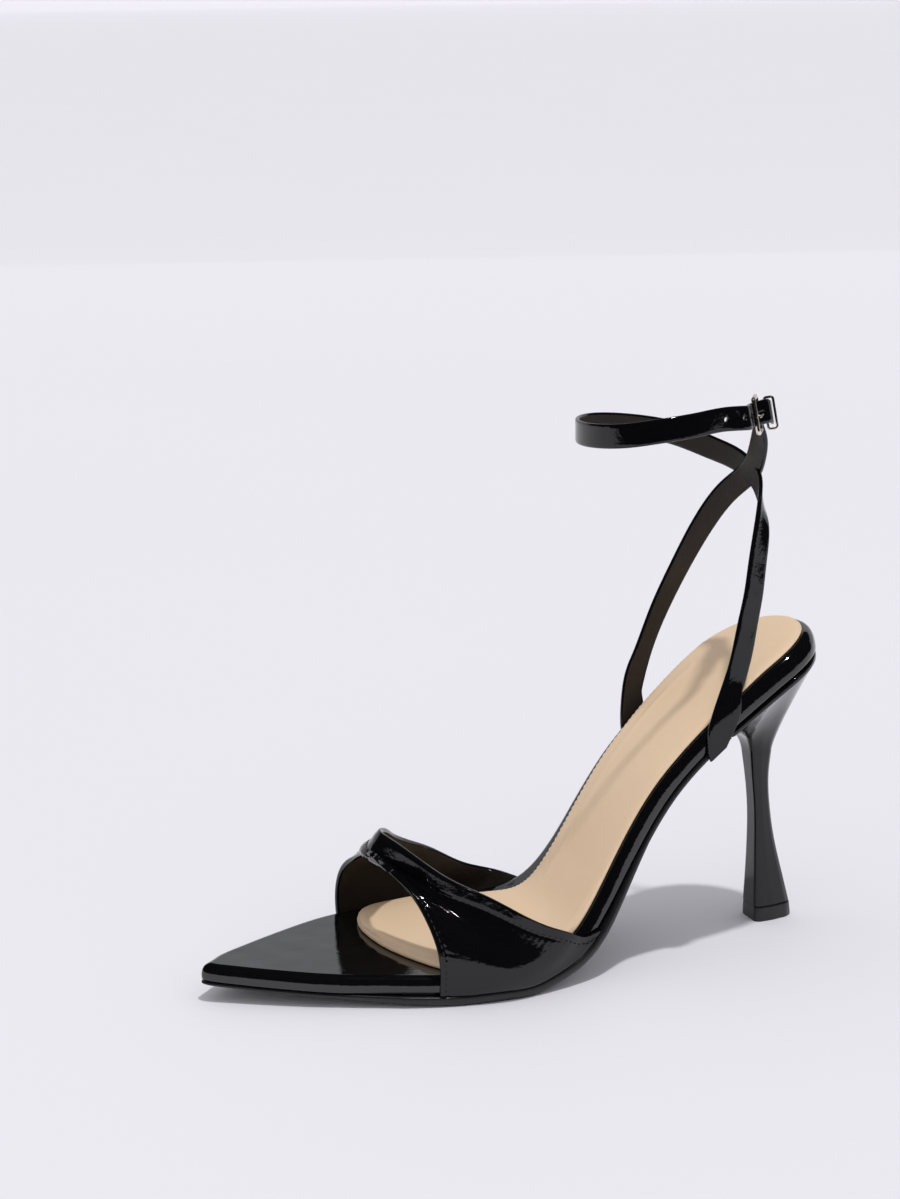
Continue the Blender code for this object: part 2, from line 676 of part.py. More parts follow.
def ankle_point(row):
    return np.array(
        [
            row[0] * ANKLE_WIDTH / 2,
            ANKLE_CENTRE + row[1] * ANKLE_LENGTH / 2,
            SEAT_HEIGHT + row[2] * ANKLE_HEIGHT,
        ]
    )


BUCKLE = ankle_point(BUCKLE_AT)
BUCKLE_OUT = np.array([math.cos(math.radians(BUCKLE_FACING)), math.sin(math.radians(BUCKLE_FACING)), 0.0])
BUCKLE_FORWARD = np.array([BUCKLE_OUT[1], -BUCKLE_OUT[0], 0.0])
LEAN = math.radians(BUCKLE_LEAN)
BUCKLE_UP = np.array([0.0, 0.0, math.cos(LEAN)]) - math.sin(LEAN) * BUCKLE_OUT
BUCKLE_OUT = math.cos(LEAN) * BUCKLE_OUT + np.array([0.0, 0.0, math.sin(LEAN)])


def at_buckle(forward, up, out):
    return BUCKLE + forward * BUCKLE_FORWARD + up * BUCKLE_UP + out * BUCKLE_OUT


def root_edges(table, side):
    """The strap's two edges where it lies on the side of the board."""
    front, back, facing = [], [], []
    for level, near, far in table:
        for share, edge in ((near, front), (far, back)):
            y = ANKLE_CENTRE + share * ANKLE_LENGTH / 2
            x = edge_at(y, side) + side * (GAP + STRAP_THICKNESS / 2)
            edge.append(bent(np.array([station(y), x]), level * BOARD_THICKNESS))
        facing.append(np.array([side, 0.0, 0.0]))
    return front, back, facing


def ribbon(front, back, facing, count, thickness):
    """Grids of a flat strap between two edge curves, with its edges eased."""
    middle = (np.array(front) + np.array(back)) / 2
    reach = np.concatenate([[0], np.cumsum(np.linalg.norm(np.diff(middle, axis=0), axis=1))])
    where = np.linspace(0, reach[-1], count)
    front, back = spline(reach, front)(where), spline(reach, back)(where)
    facing = unit(np.stack([np.interp(where, reach, part) for part in np.transpose(facing)], axis=-1))
    columns = 4
    share = np.linspace(0, 1, columns)[None, :, None]
    middle = front[:, None] * (1 - share) + back[:, None] * share
    tangent = unit(np.gradient((front + back) / 2, axis=0))
    out = np.cross(tangent, back - front)
    out = unit(out) * np.sign(np.sum(out * facing, axis=1, keepdims=True))
    thick = np.interp(np.linspace(0, 1, count), np.linspace(0, 1, len(thickness)), thickness)
    grids = []
    for level, inset in ((-0.5, 0.25), (-0.2, 0.0), (0.2, 0.0), (0.5, 0.25)):
        ease = inset * STRAP_THICKNESS * unit(back - front)[:, None] * (1 - 2 * share)
        grids.append(middle + ease + level * thick[:, None, None] * out[:, None])
    return grids


def strap_edges(centres, facings, width):
    """The two edges of a strap from its middle line and the way that it faces."""
    centres = np.asarray(centres)
    tangent = unit(np.gradient(centres, axis=0))
    side = unit(np.cross(np.asarray(facings), tangent))
    return list(centres - side * width / 2), list(centres + side * width / 2)


def make_strap(name, root, side, table, end, count, thickness):
    """A strap from its foot on the board, by its table's rows, to its end at the buckle."""
    half = BUCKLE_LENGTH / 2
    centres = [ankle_point(row) for row in table]
    centres += [at_buckle(forward * half, up * half, out * BUCKLE_ROD) for forward, up, out, _ in end]
    turns = [math.radians(row[3]) for row in table + end]
    leans = [0.0] * len(table) + [LEAN] * len(end)
    facings = [
        np.array([math.cos(turn) * math.cos(lean), math.sin(turn) * math.cos(lean), math.sin(lean)])
        for turn, lean in zip(turns, leans)
    ]
    first, second = strap_edges(centres, facings, STRAP_WIDTH)
    root_front, root_back, root_facing = root_edges(root, side)
    if np.linalg.norm(first[0] - root_front[-1]) > np.linalg.norm(second[0] - root_front[-1]):
        first, second = second, first
    grids = ribbon(root_front + first, root_back + second, root_facing + facings, count, thickness)
    return stack(name, grids, PATENT, 0.12)


def make_straps():
    """The long strap round the ankle and the short one that holds the buckle, joined at the crossing."""
    plain = [STRAP_THICKNESS]
    long_strap = make_strap("ankle_straps", OUTER_ROOT, 1, LONG_STRAP, LONG_END, 132, plain * 2)
    loop = 2 * (BUCKLE_ROD / 2 + GAP + 0.7 * STRAP_THICKNESS)
    doubled = plain * 16 + [1.3 * STRAP_THICKNESS] * 4 + [loop]
    short_strap = make_strap("short_strap_piece", INNER_ROOT, -1, SHORT_STRAP, SHORT_END, 64, doubled)
    short_strap.hide_render = True
    short_strap.display_type = "WIRE"
    axes = np.stack([BUCKLE_FORWARD, BUCKLE_OUT, BUCKLE_UP])
    half = BUCKLE_LENGTH / 2
    bar_place = at_buckle(-half, 0, 0)
    bar_way = cutter("bar_way", bar_place, (BUCKLE_ROD / 2 + GAP, 2 * BUCKLE_HEIGHT), axes)
    prong_way = cutter("prong_way", bar_place, (3 * BUCKLE_ROD, 6 * BUCKLE_ROD, PRONG_ROD + 4 * GAP), axes)
    combine(short_strap, bar_way, "DIFFERENCE")
    combine(short_strap, prong_way, "DIFFERENCE")
    hole = cutter("prong_hole", at_buckle(0, 0, 0), (4.4 * PRONG_ROD, 3 * BUCKLE_ROD, PRONG_ROD + 2 * GAP), axes)
    combine(long_strap, short_strap, "UNION")
    combine(long_strap, hole, "DIFFERENCE")
    return long_strap


def make_buckle():
    """A rectangular wire frame whose back side carries the strap's fold and the prong."""
    half = BUCKLE_LENGTH / 2
    tall = (BUCKLE_HEIGHT - BUCKLE_ROD) / 2
    corner = BUCKLE_ROD * 0.7
    path = []
    for forward, up, start in ((half, tall, 0), (-half, tall, 90), (-half, -tall, 180), (half, -tall, 270)):
        for angle in np.radians(start + np.array([0, 30, 60, 90])):
            centre_forward = forward - math.copysign(corner, forward)
            centre_up = up - math.copysign(corner, up)
            path.append(at_buckle(centre_forward + corner * math.cos(angle), centre_up + corner * math.sin(angle), 0))
    rod_ring("buckle_frame", path, BUCKLE_ROD, BUCKLE_OUT, GOLD)


def make_prong():
    """The pin: an eye round the frame's back side and a straight tine to its front side."""
    half = BUCKLE_LENGTH / 2
    eye_radius = BUCKLE_ROD / 2 + GAP + PRONG_ROD / 2
    eye = []
    for angle in np.linspace(0, 2 * math.pi, 13)[:-1]:
        eye.append(at_buckle(-half + eye_radius * math.cos(angle), 0, eye_radius * math.sin(angle)))
    ring = rod_ring("buckle_prong", eye, PRONG_ROD, BUCKLE_UP, GOLD)
    lift = BUCKLE_ROD / 2 + GAP + PRONG_ROD / 2
    start = at_buckle(-half + eye_radius, 0, 0)
    bend = at_buckle(0.1 * half, 0, 0.2 * lift)
    rest = at_buckle(half - 0.2 * BUCKLE_ROD, 0, lift)
    tip = at_buckle(half + 0.7 * BUCKLE_ROD, 0, lift)
    points = along([start, bend, rest, tip], 9)
    tangent = unit(np.gradient(points, axis=0))
    side = unit(np.cross(tangent, BUCKLE_UP))
    mesh = bmesh.new()
    rings = []
    for k, point in enumerate(points):
        radius = PRONG_ROD / 2 * (0.55 if k == len(points) - 1 else 1.0)
        turns = np.linspace(0, 2 * math.pi, 9)[:-1]
        rings.append([mesh.verts.new(point + radius * (math.cos(a) * side[k] + math.sin(a) * BUCKLE_UP)) for a in turns])
    for ring_a, ring_b in zip(rings, rings[1:]):
        for j in range(8):
            mesh.faces.new((ring_a[j], ring_a[(j + 1) % 8], ring_b[(j + 1) % 8], ring_b[j]))
    mesh.faces.new(rings[0])
    mesh.faces.new(rings[-1])
    bmesh.ops.recalc_face_normals(mesh, faces=mesh.faces)
    tine = finish("prong_tine", mesh, GOLD, 0.2, 1.0)
    tine.hide_render = True
    tine.display_type = "WIRE"
    combine(ring, tine, "UNION")


def make_keeper():
    """The small wire loop round the long strap, close to its tip."""
    place = 0.88 * LONG_END[-1][0] * BUCKLE_LENGTH / 2
    clear = STRAP_THICKNESS / 2 + GAP + KEEPER_ROD / 2
    level = LONG_END[-1][2] * BUCKLE_ROD
    inner, outer = level - clear, level + 1.1 * clear
    tail = LONG_END[-1][1] * BUCKLE_LENGTH / 2
    reach = STRAP_WIDTH / 2 + 2 * GAP + KEEPER_ROD / 2
    top, foot = tail + reach + GAP, tail - reach - GAP
    corner = KEEPER_ROD
    path = []
    for up, out, start in ((top, outer, 0), (foot, outer, 90), (foot, inner, 180), (top, inner, 270)):
        middle = ((top + foot) / 2, (outer + inner) / 2)
        for angle in np.radians(start + np.array([0, 30, 60, 90])):
            centre_up = up - math.copysign(corner, up - middle[0])
            centre_out = out - math.copysign(corner, out - middle[1])
            path.append(at_buckle(place, centre_up + corner * math.cos(angle), centre_out + corner * math.sin(angle)))
    rod_ring("strap_keeper", path, KEEPER_ROD, BUCKLE_FORWARD, GOLD)


def main():
    for item in list(bpy.data.objects):
        bpy.data.objects.remove(item)
    make_outsole()
    make_board()
    make_sock()
    make_heel()
    make_top_piece()
    make_vamp()
    make_straps()
    make_buckle()
    make_prong()
    make_keeper()


main()
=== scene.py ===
"""Black patent strappy sandal for the left foot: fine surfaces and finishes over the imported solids.

Metres, +Z up, toe towards -Y, outer side of the foot towards +X. Each surface is a function of two
values, a station along the last and a place across it, or of a place along a strap and a turn round it.
"""

import math

import bmesh
import bpy
import numpy as np
from mathutils import Matrix


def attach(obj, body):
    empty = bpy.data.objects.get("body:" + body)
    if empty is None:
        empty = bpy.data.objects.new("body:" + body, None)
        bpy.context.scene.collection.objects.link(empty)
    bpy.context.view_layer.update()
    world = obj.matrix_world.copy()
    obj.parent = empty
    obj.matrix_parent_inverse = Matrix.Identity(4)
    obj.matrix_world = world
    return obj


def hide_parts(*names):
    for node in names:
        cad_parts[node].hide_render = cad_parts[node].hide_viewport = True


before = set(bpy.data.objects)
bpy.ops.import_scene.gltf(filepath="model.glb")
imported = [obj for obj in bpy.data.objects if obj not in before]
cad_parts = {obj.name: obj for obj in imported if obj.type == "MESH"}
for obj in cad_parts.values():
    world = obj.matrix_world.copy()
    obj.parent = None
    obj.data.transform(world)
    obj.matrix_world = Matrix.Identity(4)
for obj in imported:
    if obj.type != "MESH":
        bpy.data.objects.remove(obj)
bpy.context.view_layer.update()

# Last and sole
TREAD_TO_TOE = 0.0950
TREAD_TO_HEEL = 0.1325
BALL_WIDTH = 0.081
WAIST_WIDTH = 0.0453
SEAT_WIDTH = 0.0513
SEAT_HEIGHT = 0.1108
TOE_SPRING = 0.0037
BOARD_THICKNESS = 0.0065
SEAT_THICKNESS = 0.008
OUTSOLE_THICKNESS = 0.0037
WAIST_SOLE_THICKNESS = 0.0023
OUTSOLE_FLANGE = 0.0019
SOCK_THICKNESS = 0.0033
SEAT_SOCK_THICKNESS = 0.0016
SOCK_MARGIN = 0.0034
SOCK_OUTER_MARGIN = 0.0022
SOCK_FRONT = 0.0335

# Heel
HEEL_BREAST = TREAD_TO_HEEL - 0.0445
HEEL_TIP_WIDTH = 0.0124
HEEL_TIP_DEPTH = 0.0152
HEEL_TIP_BREAST = TREAD_TO_HEEL - 0.0223
TOP_PIECE_HEIGHT = 0.0055
HEEL_STEM_HEIGHT = 0.063
HEEL_COVER_EDGE = 0.0022
HEEL_COVER_INSET = 0.0007

# Vamp
VAMP_FRONT = 0.034
VAMP_BACK = 0.0373
INSTEP_HEIGHT = 0.0492
LEATHER = 0.0016
VAMP_SWELL = 0.022
VAMP_CROWN = 0.0048
STITCH_INSET = 0.0021
STITCH_PITCH = 0.0023
STITCH_LENGTH = 0.0015

# Straps and buckle
STRAP_WIDTH = 0.0084
STRAP_THICKNESS = 0.0015
ANKLE_WIDTH = 0.054
ANKLE_LENGTH = 0.066
ANKLE_CENTRE = TREAD_TO_HEEL - 0.0555
ANKLE_HEIGHT = 0.082
BUCKLE_LENGTH = 0.0086
BUCKLE_HEIGHT = 0.0134
BUCKLE_ROD = 0.0016
PRONG_ROD = 0.0012
KEEPER_ROD = 0.0009

GAP = 0.0003

# Studio: the paper's reach before, behind and beside the shoe, its bend and its top; the light of the room
# on surfaces and in mirror images
PAPER_FRONT = 9.0
PAPER_BACK = 40.0
PAPER_BEND = 3.0
PAPER_TOP = 9.0
PAPER_SIDE = 14.0
ROOM_LIGHT = 0.60
ROOM_SHINE = 0.01
AWAY_FROM_VIEWER = (-0.94, 0.342)

# Outline of the board: run, the width it follows, outer and inner edge as shares of that width
WIDTHS = {"ball": BALL_WIDTH, "waist": WAIST_WIDTH, "seat": SEAT_WIDTH}
OUTLINE = (
    (-1.000, "ball", 0.015, -0.015),
    (-0.975, "ball", 0.055, 0.027),
    (-0.923, "ball", 0.096, 0.092),
    (-0.856, "ball", 0.144, 0.153),
    (-0.733, "ball", 0.227, 0.250),
    (-0.591, "ball", 0.312, 0.352),
    (-0.419, "ball", 0.383, 0.451),
    (-0.209, "ball", 0.464, 0.503),
    (0.000, "ball", 0.494, 0.509),
    (0.113, "ball", 0.479, 0.470),
    (0.204, "ball", 0.447, 0.392),
    (0.302, "ball", 0.407, 0.290),
    (0.415, "waist", 0.669, 0.440),
    (0.566, "waist", 0.660, 0.446),
    (0.717, "seat", 0.565, 0.456),
    (0.823, "seat", 0.524, 0.480),
    (0.898, "seat", 0.470, 0.415),
    (0.951, "seat", 0.362, 0.302),
    (0.986, "seat", 0.205, 0.160),
    (1.000, "seat", 0.000, 0.000),
)
# Bottom of the last ahead of and behind the tread: share of the run, share of the lift
SPRING = ((1.00, 1.00), (0.80, 0.68), (0.57, 0.37), (0.32, 0.10), (0.13, 0.0))
RISE = (
    (0.068, 0.001),
    (0.140, 0.025),
    (0.263, 0.115),
    (0.374, 0.328),
    (0.477, 0.540),
    (0.580, 0.686),
    (0.682, 0.788),
    (0.784, 0.873),
    (0.889, 0.950),
    (0.943, 0.980),
    (1.000, 1.000),
)
# Sides of the board: inset in board thicknesses, share of the thickness
BOARD_SIDE = ((0.12, 0.04), (0.04, 0.10), (0.0, 0.24), (0.0, 0.48), (0.06, 0.73), (0.20, 0.91), (0.44, 1.0))
# Sides of the outsole: inset and depth in outsole thicknesses
OUTSOLE_SIDE = ((0.60, 1.0), (0.26, 0.90), (0.06, 0.66), (0.0, 0.30), (0.06, 0.0))
# Front of the sock: distance behind its nose as a share of SOCK_FRONT, then how far its outer and inner
# edge have spread from the nose to the sock's full width, and the nose's place as a share of BALL_WIDTH
SOCK_NOSE = (
    (0.0, 0.0, 0.0),
    (0.015, 0.17, 0.26),
    (0.05, 0.34, 0.48),
    (0.10, 0.47, 0.64),
    (0.167, 0.60, 0.77),
    (0.25, 0.72, 0.84),
    (0.33, 0.82, 0.875),
    (0.43, 0.91, 0.89),
    (0.56, 0.98, 0.90),
    (1.0, 1.0, 0.94),
    (1.7, 1.0, 1.0),
)
SOCK_NOSE_AT = -0.165
# How far the sock's inner edge keeps further off the arch: share of TREAD_TO_HEEL, share of WAIST_WIDTH
SOCK_ARCH = (
    (-0.02, 0.0),
    (0.10, 0.10),
    (0.20, 0.19),
    (0.26, 0.175),
    (0.33, 0.10),
    (0.42, 0.06),
    (0.55, 0.03),
    (0.72, 0.0),
)
# Heel up to the stem: height share, breast and back as shares of the tip's depth, width share
HEEL_SECTIONS = (
    (0.095, 0.00, 0.985, 0.96),
    (0.24, 0.02, 0.84, 0.83),
    (0.45, 0.04, 0.63, 0.68),
    (0.68, 0.03, 0.485, 0.61),
    (0.87, -0.04, 0.45, 0.65),
    (1.00, -0.10, 0.50, 0.78),
)
# Facets of the heel from its breast to its back: share of the depth, share of the half width
HEEL_FACETS = ((0.0, 0.80), (0.10, 1.0), (0.45, 0.97), (0.84, 0.76), (1.0, 0.46))
# Edges of the vamp from the outer to the inner side: shares across, along and of the height
VAMP_FRONT_EDGE = (
    (0.930, -0.676, 0.350),
    (0.805, -0.744, 0.579),
    (0.607, -0.841, 0.748),
    (0.363, -0.935, 0.839),
    (0.050, -0.971, 0.850),
    (-0.247, -0.965, 0.803),
    (-0.543, -0.971, 0.703),
    (-0.812, -1.003, 0.561),
    (-0.962, -1.015, 0.325),
)
VAMP_BACK_EDGE = (
    (0.919, 0.790, 0.352),
    (0.975, 0.670, 0.400),
    (1.000, 0.442, 0.480),
    (0.975, 0.147, 0.606),
    (0.877, -0.112, 0.720),
    (0.691, -0.397, 0.811),
    (0.346, -0.638, 0.917),
    (0.074, -0.765, 0.978),
    (-0.123, -0.818, 1.000),
    (-0.356, -0.676, 0.945),
    (-0.583, -0.500, 0.833),
    (-0.798, -0.232, 0.705),
    (-0.963, 0.105, 0.565),
    (-0.962, 0.424, 0.425),
    (-0.880, 0.713, 0.366),
)
VAMP_FEET = {"outer": (-0.676, 1.0), "inner": (-1.0, 0.946)}
# Foot of each strap on the board's side: level in board thicknesses, its edges as shares of half of
# ANKLE_LENGTH from ANKLE_CENTRE
OUTER_ROOT = ((-0.30, 0.044, 0.236), (0.10, 0.068, 0.365), (0.50, 0.108, 0.477), (1.15, 0.192, 0.566))
INNER_ROOT = ((-0.30, -0.215, 0.020), (0.40, -0.170, 0.100), (0.95, -0.115, 0.150))
LONG_STRAP = (
    (1.048, 0.379, -0.169, 3),
    (1.030, 0.485, -0.035, 6),
    (1.000, 0.560, 0.087, 10),
    (0.963, 0.636, 0.203, 14),
    (0.889, 0.706, 0.319, 17),
    (0.790, 0.788, 0.436, 22),
    (0.650, 0.858, 0.522, 36),
    (0.430, 0.925, 0.585, 66),
    (0.111, 1.000, 0.636, 92),
    (-0.296, 0.939, 0.698, 112),
    (-0.630, 0.773, 0.737, 136),
    (-0.907, 0.430, 0.798, 159),
    (-1.000, 0.076, 0.831, 177),
    (-0.974, -0.333, 0.855, 193),
    (-0.778, -0.640, 0.868, 218),
    (-0.407, -0.862, 0.875, 245),
    (0.000, -0.935, 0.880, 270),
    (0.407, -0.885, 0.889, 296),
    (0.759, -0.700, 0.904, 324),
    (0.952, -0.424, 0.923, 345),
    (1.010, -0.030, 0.941, 0),
    (0.985, 0.300, 0.953, 14),
)
SHORT_STRAP = (
    (-0.840, -0.073, -0.300, 186),
    (-0.852, 0.030, -0.177, 196),
    (-0.833, 0.227, 0.020, 196),
    (-0.759, 0.455, 0.218, 188),
    (-0.593, 0.703, 0.429, 168),
    (-0.385, 0.885, 0.561, 146),
    (-0.080, 1.000, 0.653, 124),
    (0.170, 0.985, 0.738, 112),
)
BUCKLE_AT = (0.611, 0.803, 0.939)
BUCKLE_FACING = 58
BUCKLE_LEAN = 10
LONG_END = (
    (1.95, 0.17, -1.05, 58),
    (0.95, 0.12, -1.12, 58),
    (0.10, 0.10, 0.15, 58),
    (-0.95, 0.04, 2.10, 58),
    (-1.95, -0.26, 2.35, 58),
)
SHORT_END = (
    (-2.60, -2.25, -1.1, 96),
    (-2.15, -0.95, -0.5, 76),
    (-1.55, -0.12, -0.20, 60),
    (-0.72, 0.0, 0.0, 58),
)
# Prong holes of the long strap: distance from its tip in strap widths
STRAP_HOLES = (2.75, 3.65)
STRAP_HOLE_RADIUS = 0.0009


def spline(knots, values):
    """Natural cubic spline: between knots a, b the value is the straight blend plus (c^3 - c) bends."""
    knots = np.asarray(knots, float)
    values = np.asarray(values, float)
    rows = values.reshape(len(knots), -1)
    steps = np.diff(knots)
    slopes = np.diff(rows, axis=0) / steps[:, None]
    system = np.eye(len(knots))
    right = np.zeros_like(rows)
    for i in range(1, len(knots) - 1):
        system[i, i - 1 : i + 2] = steps[i - 1], 2 * (steps[i - 1] + steps[i]), steps[i]
        right[i] = 6 * (slopes[i] - slopes[i - 1])
    bends = np.linalg.solve(system, right)

    def at(where):
        where = np.asarray(where, float)
        i = np.clip(np.searchsorted(knots, where) - 1, 0, len(knots) - 2)
        step = steps[i][..., None]
        left = (knots[i + 1] - where)[..., None] / step
        rest = 1 - left
        curve = (left**3 - left) * bends[i] + (rest**3 - rest) * bends[i + 1]
        found = left * rows[i] + rest * rows[i + 1] + curve * step**2 / 6
        return found.reshape(where.shape + values.shape[1:])

    return at


def reach_of(points):
    """Distance travelled along a line of points."""
    return np.concatenate([[0], np.cumsum(np.linalg.norm(np.diff(points, axis=0), axis=1))])


def on_line(where, reach, points):
    """Places at distances along a line of points, straight between its points."""
    return np.stack([np.interp(where, reach, column) for column in points.T], axis=-1)


def along(points, count):
    """Evenly spread points on a spline through points."""
    points = np.asarray(points, float)
    reach = reach_of(points)
    return spline(reach, points)(np.linspace(0, reach[-1], count))


def unit(vectors):
    return vectors / np.linalg.norm(vectors, axis=-1, keepdims=True)


def smooth(low, high, value):
    """0 below low, 1 above high and 3t^2 - 2t^3 between."""
    t = np.clip((value - low) / (high - low), 0, 1)
    return t * t * (3 - 2 * t)


def run_to_y(run):
    return run * (TREAD_TO_TOE if run < 0 else TREAD_TO_HEEL)


# Bottom of the last

FEATHER_RISE = SEAT_HEIGHT - SEAT_THICKNESS - OUTSOLE_THICKNESS
PROFILE = spline(
    [-TREAD_TO_TOE * run for run, _ in SPRING] + [0] + [TREAD_TO_HEEL * run for run, _ in RISE],
    [TOE_SPRING * lift for _, lift in SPRING] + [0] + [FEATHER_RISE * lift for _, lift in RISE],
)
SAMPLES_Y = np.linspace(-1.05 * TREAD_TO_TOE, 1.05 * TREAD_TO_HEEL, 1200)
SAMPLES_Z = OUTSOLE_THICKNESS - GAP + PROFILE(SAMPLES_Y)
SAMPLES_SLOPE = np.arctan2(np.gradient(SAMPLES_Z), np.gradient(SAMPLES_Y))
SAMPLES_S = np.concatenate([[0], np.cumsum(np.hypot(np.diff(SAMPLES_Y), np.diff(SAMPLES_Z)))])
SAMPLES_S -= np.interp(0, SAMPLES_Y, SAMPLES_S)


def station(y):
    """Distance along the last's bottom from the tread to the place at y."""
    return np.interp(y, SAMPLES_Y, SAMPLES_S)


def bent(flat, level):
    """Flat places (s, x) carried to (x, y - level sin a, z + level cos a), a the slope at s."""
    flat = np.asarray(flat, float)
    y = np.interp(flat[..., 0], SAMPLES_S, SAMPLES_Y)
    z = np.interp(flat[..., 0], SAMPLES_S, SAMPLES_Z)
    slope = np.interp(flat[..., 0], SAMPLES_S, SAMPLES_SLOPE)
    level = np.broadcast_to(level, y.shape)
    return np.stack([flat[..., 1], y - level * np.sin(slope), z + level * np.cos(slope)], axis=-1)


def board_thickness(s):
    """Thickness of the board, blended between the toe, the ball, the waist and the seat."""
    ahead = [station(-TREAD_TO_TOE), station(-0.4 * TREAD_TO_TOE), 0]
    behind = [station(share * TREAD_TO_HEEL) for share in (0.35, 0.55, 0.8, 1.0)]
    seat = SEAT_THICKNESS / BOARD_THICKNESS
    return BOARD_THICKNESS * np.interp(s, ahead + behind, [0.94, 0.98, 1.0, 0.96, 0.96, seat, seat])


def outsole_thickness(s):
    """Thickness of the outsole: fullest at the tread, thin at the toe and up the waist."""
    ahead = [station(-share * TREAD_TO_TOE) for share in (1.0, 0.6, 0.2)]
    behind = [station(share * TREAD_TO_HEEL) for share in (0.2, 0.42)]
    full = OUTSOLE_THICKNESS
    return np.interp(s, ahead + behind, [0.36 * full, 0.55 * full, full, full, WAIST_SOLE_THICKNESS])


def sock_thickness(s):
    reach = [station(0.1 * TREAD_TO_HEEL), station(0.35 * TREAD_TO_HEEL)]
    return np.interp(s, reach, [SOCK_THICKNESS, SEAT_SOCK_THICKNESS])


# Outline of the board

OUTER_SIDE = [(station(run_to_y(run)), outer * WIDTHS[width]) for run, width, outer, _ in OUTLINE]
INNER_SIDE = [(station(run_to_y(run)), -inner * WIDTHS[width]) for run, width, _, inner in OUTLINE]


def closed_outline():
    """A spline round the board's outline, with the distances of its toe and heel."""
    loop = np.array(OUTER_SIDE + INNER_SIDE[-2:0:-1])
    wrap = 5
    points = np.concatenate([loop[-wrap:], loop, loop[: wrap + 1]])
    reach = reach_of(points)
    return spline(reach, points), reach[wrap], reach[wrap + len(OUTER_SIDE) - 1], reach[wrap + len(loop)]


def paired_sides(count, inset=0.0, start=None, stop=None, even=True):
    """Outer and inner edge of the pattern at matched stations, moved in by inset along its normal."""
    curve, toe, heel, again = closed_outline()
    spread = (1 - np.cos(np.linspace(0, math.pi, 900))) / 2
    sides = []
    for first, last, turn in ((toe, heel, 1), (again, heel, -1)):
        where = first + (last - first) * spread
        step = 1e-5
        tangent = unit(curve(where + step) - curve(where - step))
        inward = np.stack([-tangent[:, 1], tangent[:, 0]], axis=-1)
        inward *= np.sign(np.mean(-turn * inward[:, 1]))
        sides.append(curve(where) + np.reshape(inset, (-1, 1)) * inward)
    low = max(side[0, 0] for side in sides) if start is None else start
    high = min(side[-1, 0] for side in sides) if stop is None else stop
    share = np.linspace(0, 1, count)
    if (start is None and stop is None) or not even:
        share = (1 - np.cos(math.pi * share)) / 2
    elif start is None:
        share = 1 - np.cos(math.pi / 2 * share)
    elif stop is None:
        share = np.sin(math.pi / 2 * share)
    stations = low + (high - low) * share
    outer, inner = (np.interp(stations, side[:, 0], side[:, 1]) for side in sides)
    if start is None:
        outer[0] = inner[0] = (outer[0] + inner[0]) / 2
    if stop is None:
        outer[-1] = inner[-1] = (outer[-1] + inner[-1]) / 2
    return np.stack([stations, outer], axis=-1), np.stack([stations, inner], axis=-1)


def across(sides, columns, gather=0.0):
    """Straight lines from the inner edge to the outer one, their points gathered towards the edges."""
    outer, inner = sides
    share = np.linspace(0, 1, columns)
    share = share - gather * np.sin(2 * math.pi * share) / (2 * math.pi)
    share = share[None, :, None]
    return inner[:, None] * (1 - share) + outer[:, None] * share


EDGE_OUTER, EDGE_INNER = paired_sides(700)


def edge_at(y, side):
    """Place across of the board's edge at the station of y."""
    edge = EDGE_OUTER if side > 0 else EDGE_INNER
    return np.interp(station(y), edge[:, 0], edge[:, 1])


# Finishes


class Wire:
    """A number or colour in a material, on which Python's operators add Math nodes."""

    def __init__(self, recipe, socket):
        self.recipe = recipe
        self.socket = socket

    def math(self, operation, *others):
        return self.recipe.node("ShaderNodeMath", {"operation": operation}, (self, *others), "Value")

    def __add__(self, other):
        return self.math("ADD", other)

    __radd__ = __add__

    def __mul__(self, other):
        return self.math("MULTIPLY", other)

    __rmul__ = __mul__


class Recipe:
    """A finish with one Principled shader, whose other nodes come from node()."""

    def __init__(self, name, **settings):
        self.material = bpy.data.materials.new(name)
        self.material.use_nodes = True
        self.tree = self.material.node_tree
        self.shader = self.tree.nodes["Principled BSDF"]
        for socket, value in settings.items():
            self.shader.inputs[socket.replace("_", " ")].default_value = value
        self.place = self.node("ShaderNodeTexCoord", {}, {}, "Object")

    def node(self, kind, settings, inputs, output):
        made = self.tree.nodes.new(kind)
        for key, value in settings.items():
            setattr(made, key, value)
        pairs = inputs.items() if isinstance(inputs, dict) else enumerate(inputs)
        for key, value in pairs:
            if isinstance(value, Wire):
                self.tree.links.new(value.socket, made.inputs[key])
            else:
                made.inputs[key].default_value = value
        return Wire(self, made.outputs[output])

    def noise(self, scale, detail=2.0, roughness=0.5, stretch=None, distortion=0.0):
        """Noise with scale waves in a metre; stretch squeezes it along the axes."""
        place = self.place
        if stretch:
            place = self.node("ShaderNodeMapping", {}, {"Vector": self.place, "Scale": stretch}, "Vector")
        inputs = {"Vector": place, "Scale": scale, "Detail": detail}
        inputs |= {"Roughness": roughness, "Distortion": distortion}
        return self.node("ShaderNodeTexNoise", {}, inputs, "Fac")

    def mix(self, factor, first, second):
        """Blend of two colours given as (red, green, blue), links too."""
        first, second = (value if isinstance(value, Wire) else (*value, 1) for value in (first, second))
        return self.node("ShaderNodeMix", {"data_type": "RGBA"}, {0: factor, 6: first, 7: second}, 2)

    def feed(self, socket, wire):
        self.tree.links.new(wire.socket, self.shader.inputs[socket])

    def bump(self, *layers):
        """Bump nodes one after another, each from (height, depth in metres)."""
        normal = None
        for height, depth in layers:
            inputs = {"Strength": 1.0, "Distance": depth, "Height": height}
            if normal:
                inputs["Normal"] = normal
            normal = self.node("ShaderNodeBump", {}, inputs, "Normal")
        self.feed("Normal", normal)


